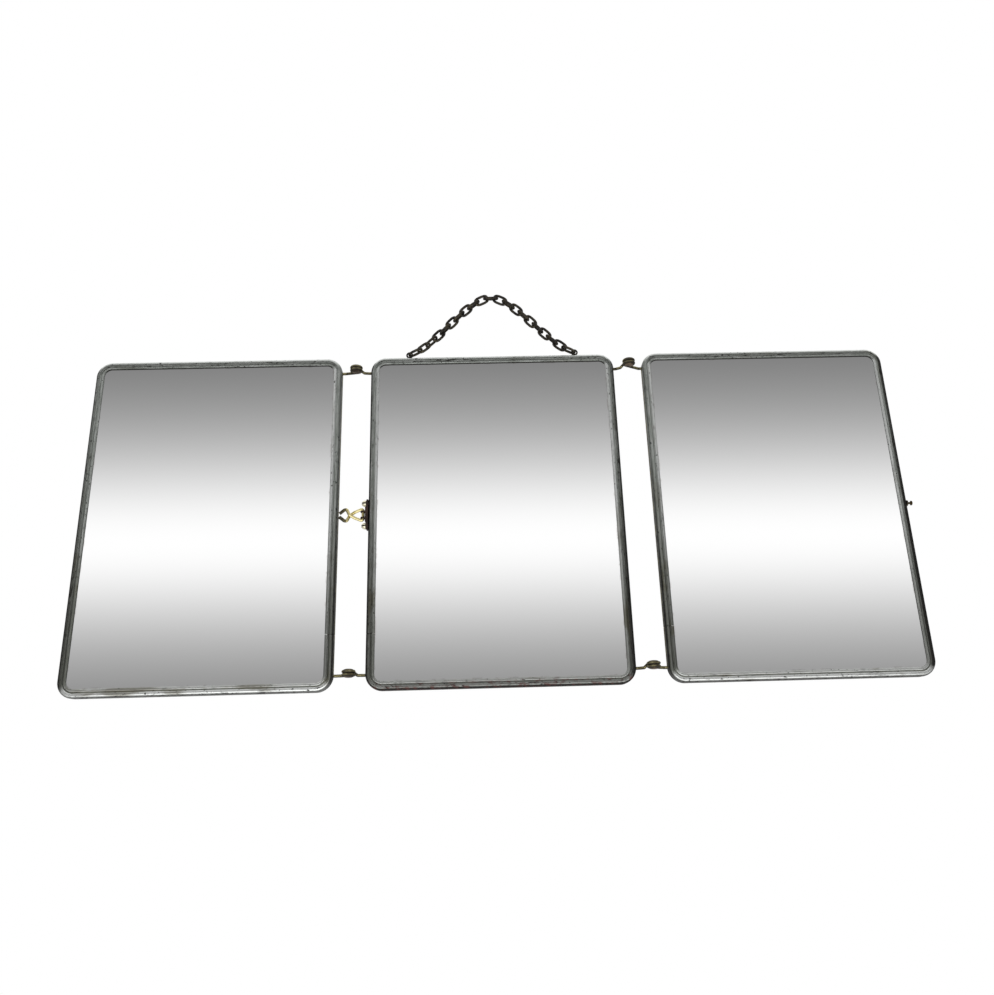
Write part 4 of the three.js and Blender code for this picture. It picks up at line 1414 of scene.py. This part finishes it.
@dataclass
class Stage:
    """Floor, world, lights and the photograph's camera."""

    floor_z: float = -1.25
    camera_place: Point = (-0.0147, -0.6693, -0.4014)
    camera_right: Point = (0.99953, -0.01412, -0.02718)
    camera_up: Point = (0.02151, -0.30853, 0.95097)
    lens: float = 30.754
    glow_up: Point = (0.02151, 0.30853, 0.95097)
    glow_right: Point = (0.99953, 0.01412, -0.02718)
    glow_ahead: Point = (0.02181, -0.95111, 0.30808)
    glow_centre: float = -0.0476
    glow_half: float = 0.153
    glow_tilt: float = 0.0131
    glow_low: float = 0.235
    glow_gain: float = 1.036
    display_gamma: float = 2.2
    floor_reach: float = 30.0
    lamps: tuple[tuple[str, Point, float, float], ...] = (
        ("key", (-0.9, -1.2, 1.0), 1.0, 9.0),
        ("fill", (1.4, -1.3, -0.2), 1.2, 4.0),
        ("rear", (0.4, 1.5, 0.6), 1.4, 8.0),
    )

    def build_camera(self) -> None:
        """Places the camera by the photograph's measured view."""
        right = Vector(self.camera_right).normalized()
        back = right.cross(Vector(self.camera_up)).normalized()
        axes = Matrix((right, back.cross(right), back)).transposed().to_4x4()
        data = bpy.data.cameras.new("camera")
        data.sensor_width = 36.0
        data.sensor_fit = "AUTO"
        data.lens = self.lens
        data.clip_start, data.clip_end = 0.01, 50.0
        camera = put("camera", data)
        camera.matrix_world = Matrix.Translation(self.camera_place) @ axes
        bpy.context.scene.camera = camera

    def build_world(self) -> None:
        """White to the camera, a soft graded light to reflections."""
        world = bpy.data.worlds.new("studio")
        bpy.context.scene.world = world
        nodes = Nodes.fresh(world)
        ray = nodes.out("ShaderNodeTexCoord", {}, "Generated")
        right, ahead = nodes.dot(ray, self.glow_right), nodes.dot(ray, self.glow_ahead)
        climb = (nodes.dot(ray, self.glow_up) - right * self.glow_tilt).angle(ahead)
        part = (climb - self.glow_centre) / self.glow_half
        bell = self.glow_low + (1 - self.glow_low) / (1 + part * part)
        band = bell ** self.display_gamma * self.glow_gain
        aside, raised = abs(nodes.dot(ray, (1, 0, 0))), nodes.dot(ray, (0, 0, 1))
        beside = aside.smooth(0.46, 0.62)
        wings = (0.1 + raised.smooth(0.08, 0.42) * 0.75) * (1 - aside.smooth(0.62, 0.98) * 0.75)
        level = band * (1 - beside) + beside * wings
        level = level + raised.smooth(0.5, 0.85) * 0.95
        level = level + nodes.dot(ray, (0, 1, 0)).smooth(0.2, 0.8) * 0.4
        glow = nodes.out("ShaderNodeCombineXYZ", {0: level, 1: level, 2: level})
        path = nodes.add("ShaderNodeLightPath")
        soft = nodes.mix(path.outputs["Is Glossy Ray"], (0.85, 0.85, 0.85, 1), glow)
        seen = nodes.mix(path.outputs["Is Camera Ray"], soft, (1, 1, 1, 1))
        light = nodes.add("ShaderNodeBackground", {"Color": seen, "Strength": 1.0})
        nodes.add("ShaderNodeOutputWorld", {"Surface": light.outputs[0]})

    def build_floor(self) -> None:
        """A floor well below the hanging mirror: white to the camera, matt grey otherwise, and in
        reflections a painted glow, brightest in a patch ahead.
        """
        data = bpy.data.meshes.new("floor")
        spots = [(x * self.floor_reach, y * self.floor_reach, self.floor_z)
                 for x, y in ((-1, -1), (1, -1), (1, 1), (-1, 1))]
        data.from_pydata(spots, [], [[0, 1, 2, 3]])
        material = bpy.data.materials.new("floor")
        nodes = Nodes.fresh(material)
        matt = nodes.out("ShaderNodeBsdfDiffuse", {"Color": (0.86, 0.86, 0.86, 1)})
        white = nodes.out("ShaderNodeEmission", {"Color": (1, 1, 1, 1), "Strength": 1.0})
        path = nodes.add("ShaderNodeLightPath")
        place = nodes.place()
        aside, ahead = abs(nodes.dot(place, (1, 0, 0))), nodes.dot(place, (0, -1, 0))
        far = (aside * aside + ahead * ahead) ** 0.5
        # Painted glow seen in reflections: it fades with distance, and a brighter painted patch of
        # light ahead of the mirror gives the rims' bottom bead its highlight.
        glow_falloff = 0.1 + (1 - far.smooth(1.5, 11.0)) * 0.72
        light_pool = ahead.smooth(0.4, 0.85) * (1 - ahead.smooth(4.0, 7.0))
        light_pool = light_pool * (1 - aside.smooth(0.9, 1.8))
        glow = nodes.out("ShaderNodeEmission", {"Strength": glow_falloff + light_pool * 1.6})
        seen = nodes.out("ShaderNodeMixShader", {
            0: path.outputs["Is Glossy Ray"], 1: matt, 2: glow})
        both = nodes.out("ShaderNodeMixShader", {
            0: path.outputs["Is Camera Ray"], 1: seen, 2: white})
        nodes.add("ShaderNodeOutputMaterial", {"Surface": both})
        data.materials.append(material)
        floor = put("floor", data)

    def build_lights(self) -> None:
        """Soft round area lights that face the mirror and don't show in it."""
        target = Vector((0, 0, PANEL.mid_z * MM))
        for name, place, size, power in self.lamps:
            data = bpy.data.lights.new(name, "AREA")
            data.shape, data.size, data.energy = "DISK", size, power
            lamp = put(name, data)
            lamp.location = place
            lamp.rotation_euler = (target - Vector(place)).to_track_quat("-Z", "Y").to_euler()
            lamp.visible_glossy = False

    def build(self) -> None:
        """Builds the whole stage."""
        bpy.context.scene.view_settings.view_transform = "Standard"
        self.build_camera()
        self.build_world()
        self.build_floor()
        self.build_lights()


# ---- assembly


def main() -> None:
    """Builds the stage and every piece of the mirror."""
    logging.basicConfig(level=logging.INFO, format="%(name)s: %(message)s")
    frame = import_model()
    Stage().build()
    half = (PANEL.width + PANEL.gap) / 2
    arm_from_middle = PANEL.height / 2 - Hinge.from_edge
    # Painted shade: dark lines along the hinge arms' lower side and between the stacked eyes.
    arm_shade_lines = [(2, PANEL.mid_z + sign * arm_from_middle + lift, 0.2, 0.8)
             for sign in (-1, 1) for lift in (-1.1, 1.35)]
    # The hinge wires are also darker round the hinge axis.
    wires = [Wire(f"olive_wire_{word}", rgb(168, 160, 118), rgb(88, 80, 50), rgb(30, 24, 16),
                  soiled=((0, x, 4.6, 0.5), *arm_shade_lines)).make()
             for word, x in (("left", -half), ("right", half))]
    rivet = Wire("rivet_iron", rgb(118, 102, 84), rgb(58, 46, 38), rgb(26, 20, 16),
                 dirt_low=0.46).make()
    # The clasp wire is darker at its jaws, and painted shade darkens its bar next to the plate.
    brass = Wire("brass", rgb(232, 220, 166), rgb(190, 174, 112), rgb(26, 21, 10), 0.9, 0.26,
                 dirt_low=0.58, soiled=((0, -128.7, 5.2, 0.9), (0, -131.0, 5.0, 0.5),
                                        (0, -107.6, 1.6, 0.5))).make()
    dull = Wire("stud_brass", rgb(120, 108, 76), rgb(74, 64, 42), dirt_low=0.48).make()
    plate = Wire("plate_iron", rgb(66, 50, 42), rgb(44, 32, 28), rgb(22, 16, 15), 0.6, 0.42).make()
    iron = Wire("chain_iron", rgb(70, 64, 50), rgb(38, 33, 26), rgb(14, 12, 10), 0.7, 0.36,
                dirt_low=0.46).make()
    for side, seam, *wear in (
            (Side.LEFT, 1, 40.0, 0.0, (0.8, 0.6), (0.5, 0.1), (0.05, 1.0)),
            (Side.CENTRE, -1, 80.0, 0.85, (0.95, 0.85), (0.3, 0.65), (1.0, 0.95)),
            (Side.RIGHT, -1, 120.0, 0.1, (0.55, 0.95), (0.0, 0.9), (0.9, 0.75))):
        Panel(side, seam, WornTin(f"tin_{side.word}", *wear)).build(frame)
    Hinge("left", -half, -4.3, "left_outer", 3.9).build(wires[0], rivet)
    Hinge("right", half, -8.6, "right_outer", 6.2).build(wires[1], rivet)
    Clasp().build(frame, brass, plate)
    CatchStud().build(dull)
    Chain().build(iron)


if __name__ == "__main__":
    main()
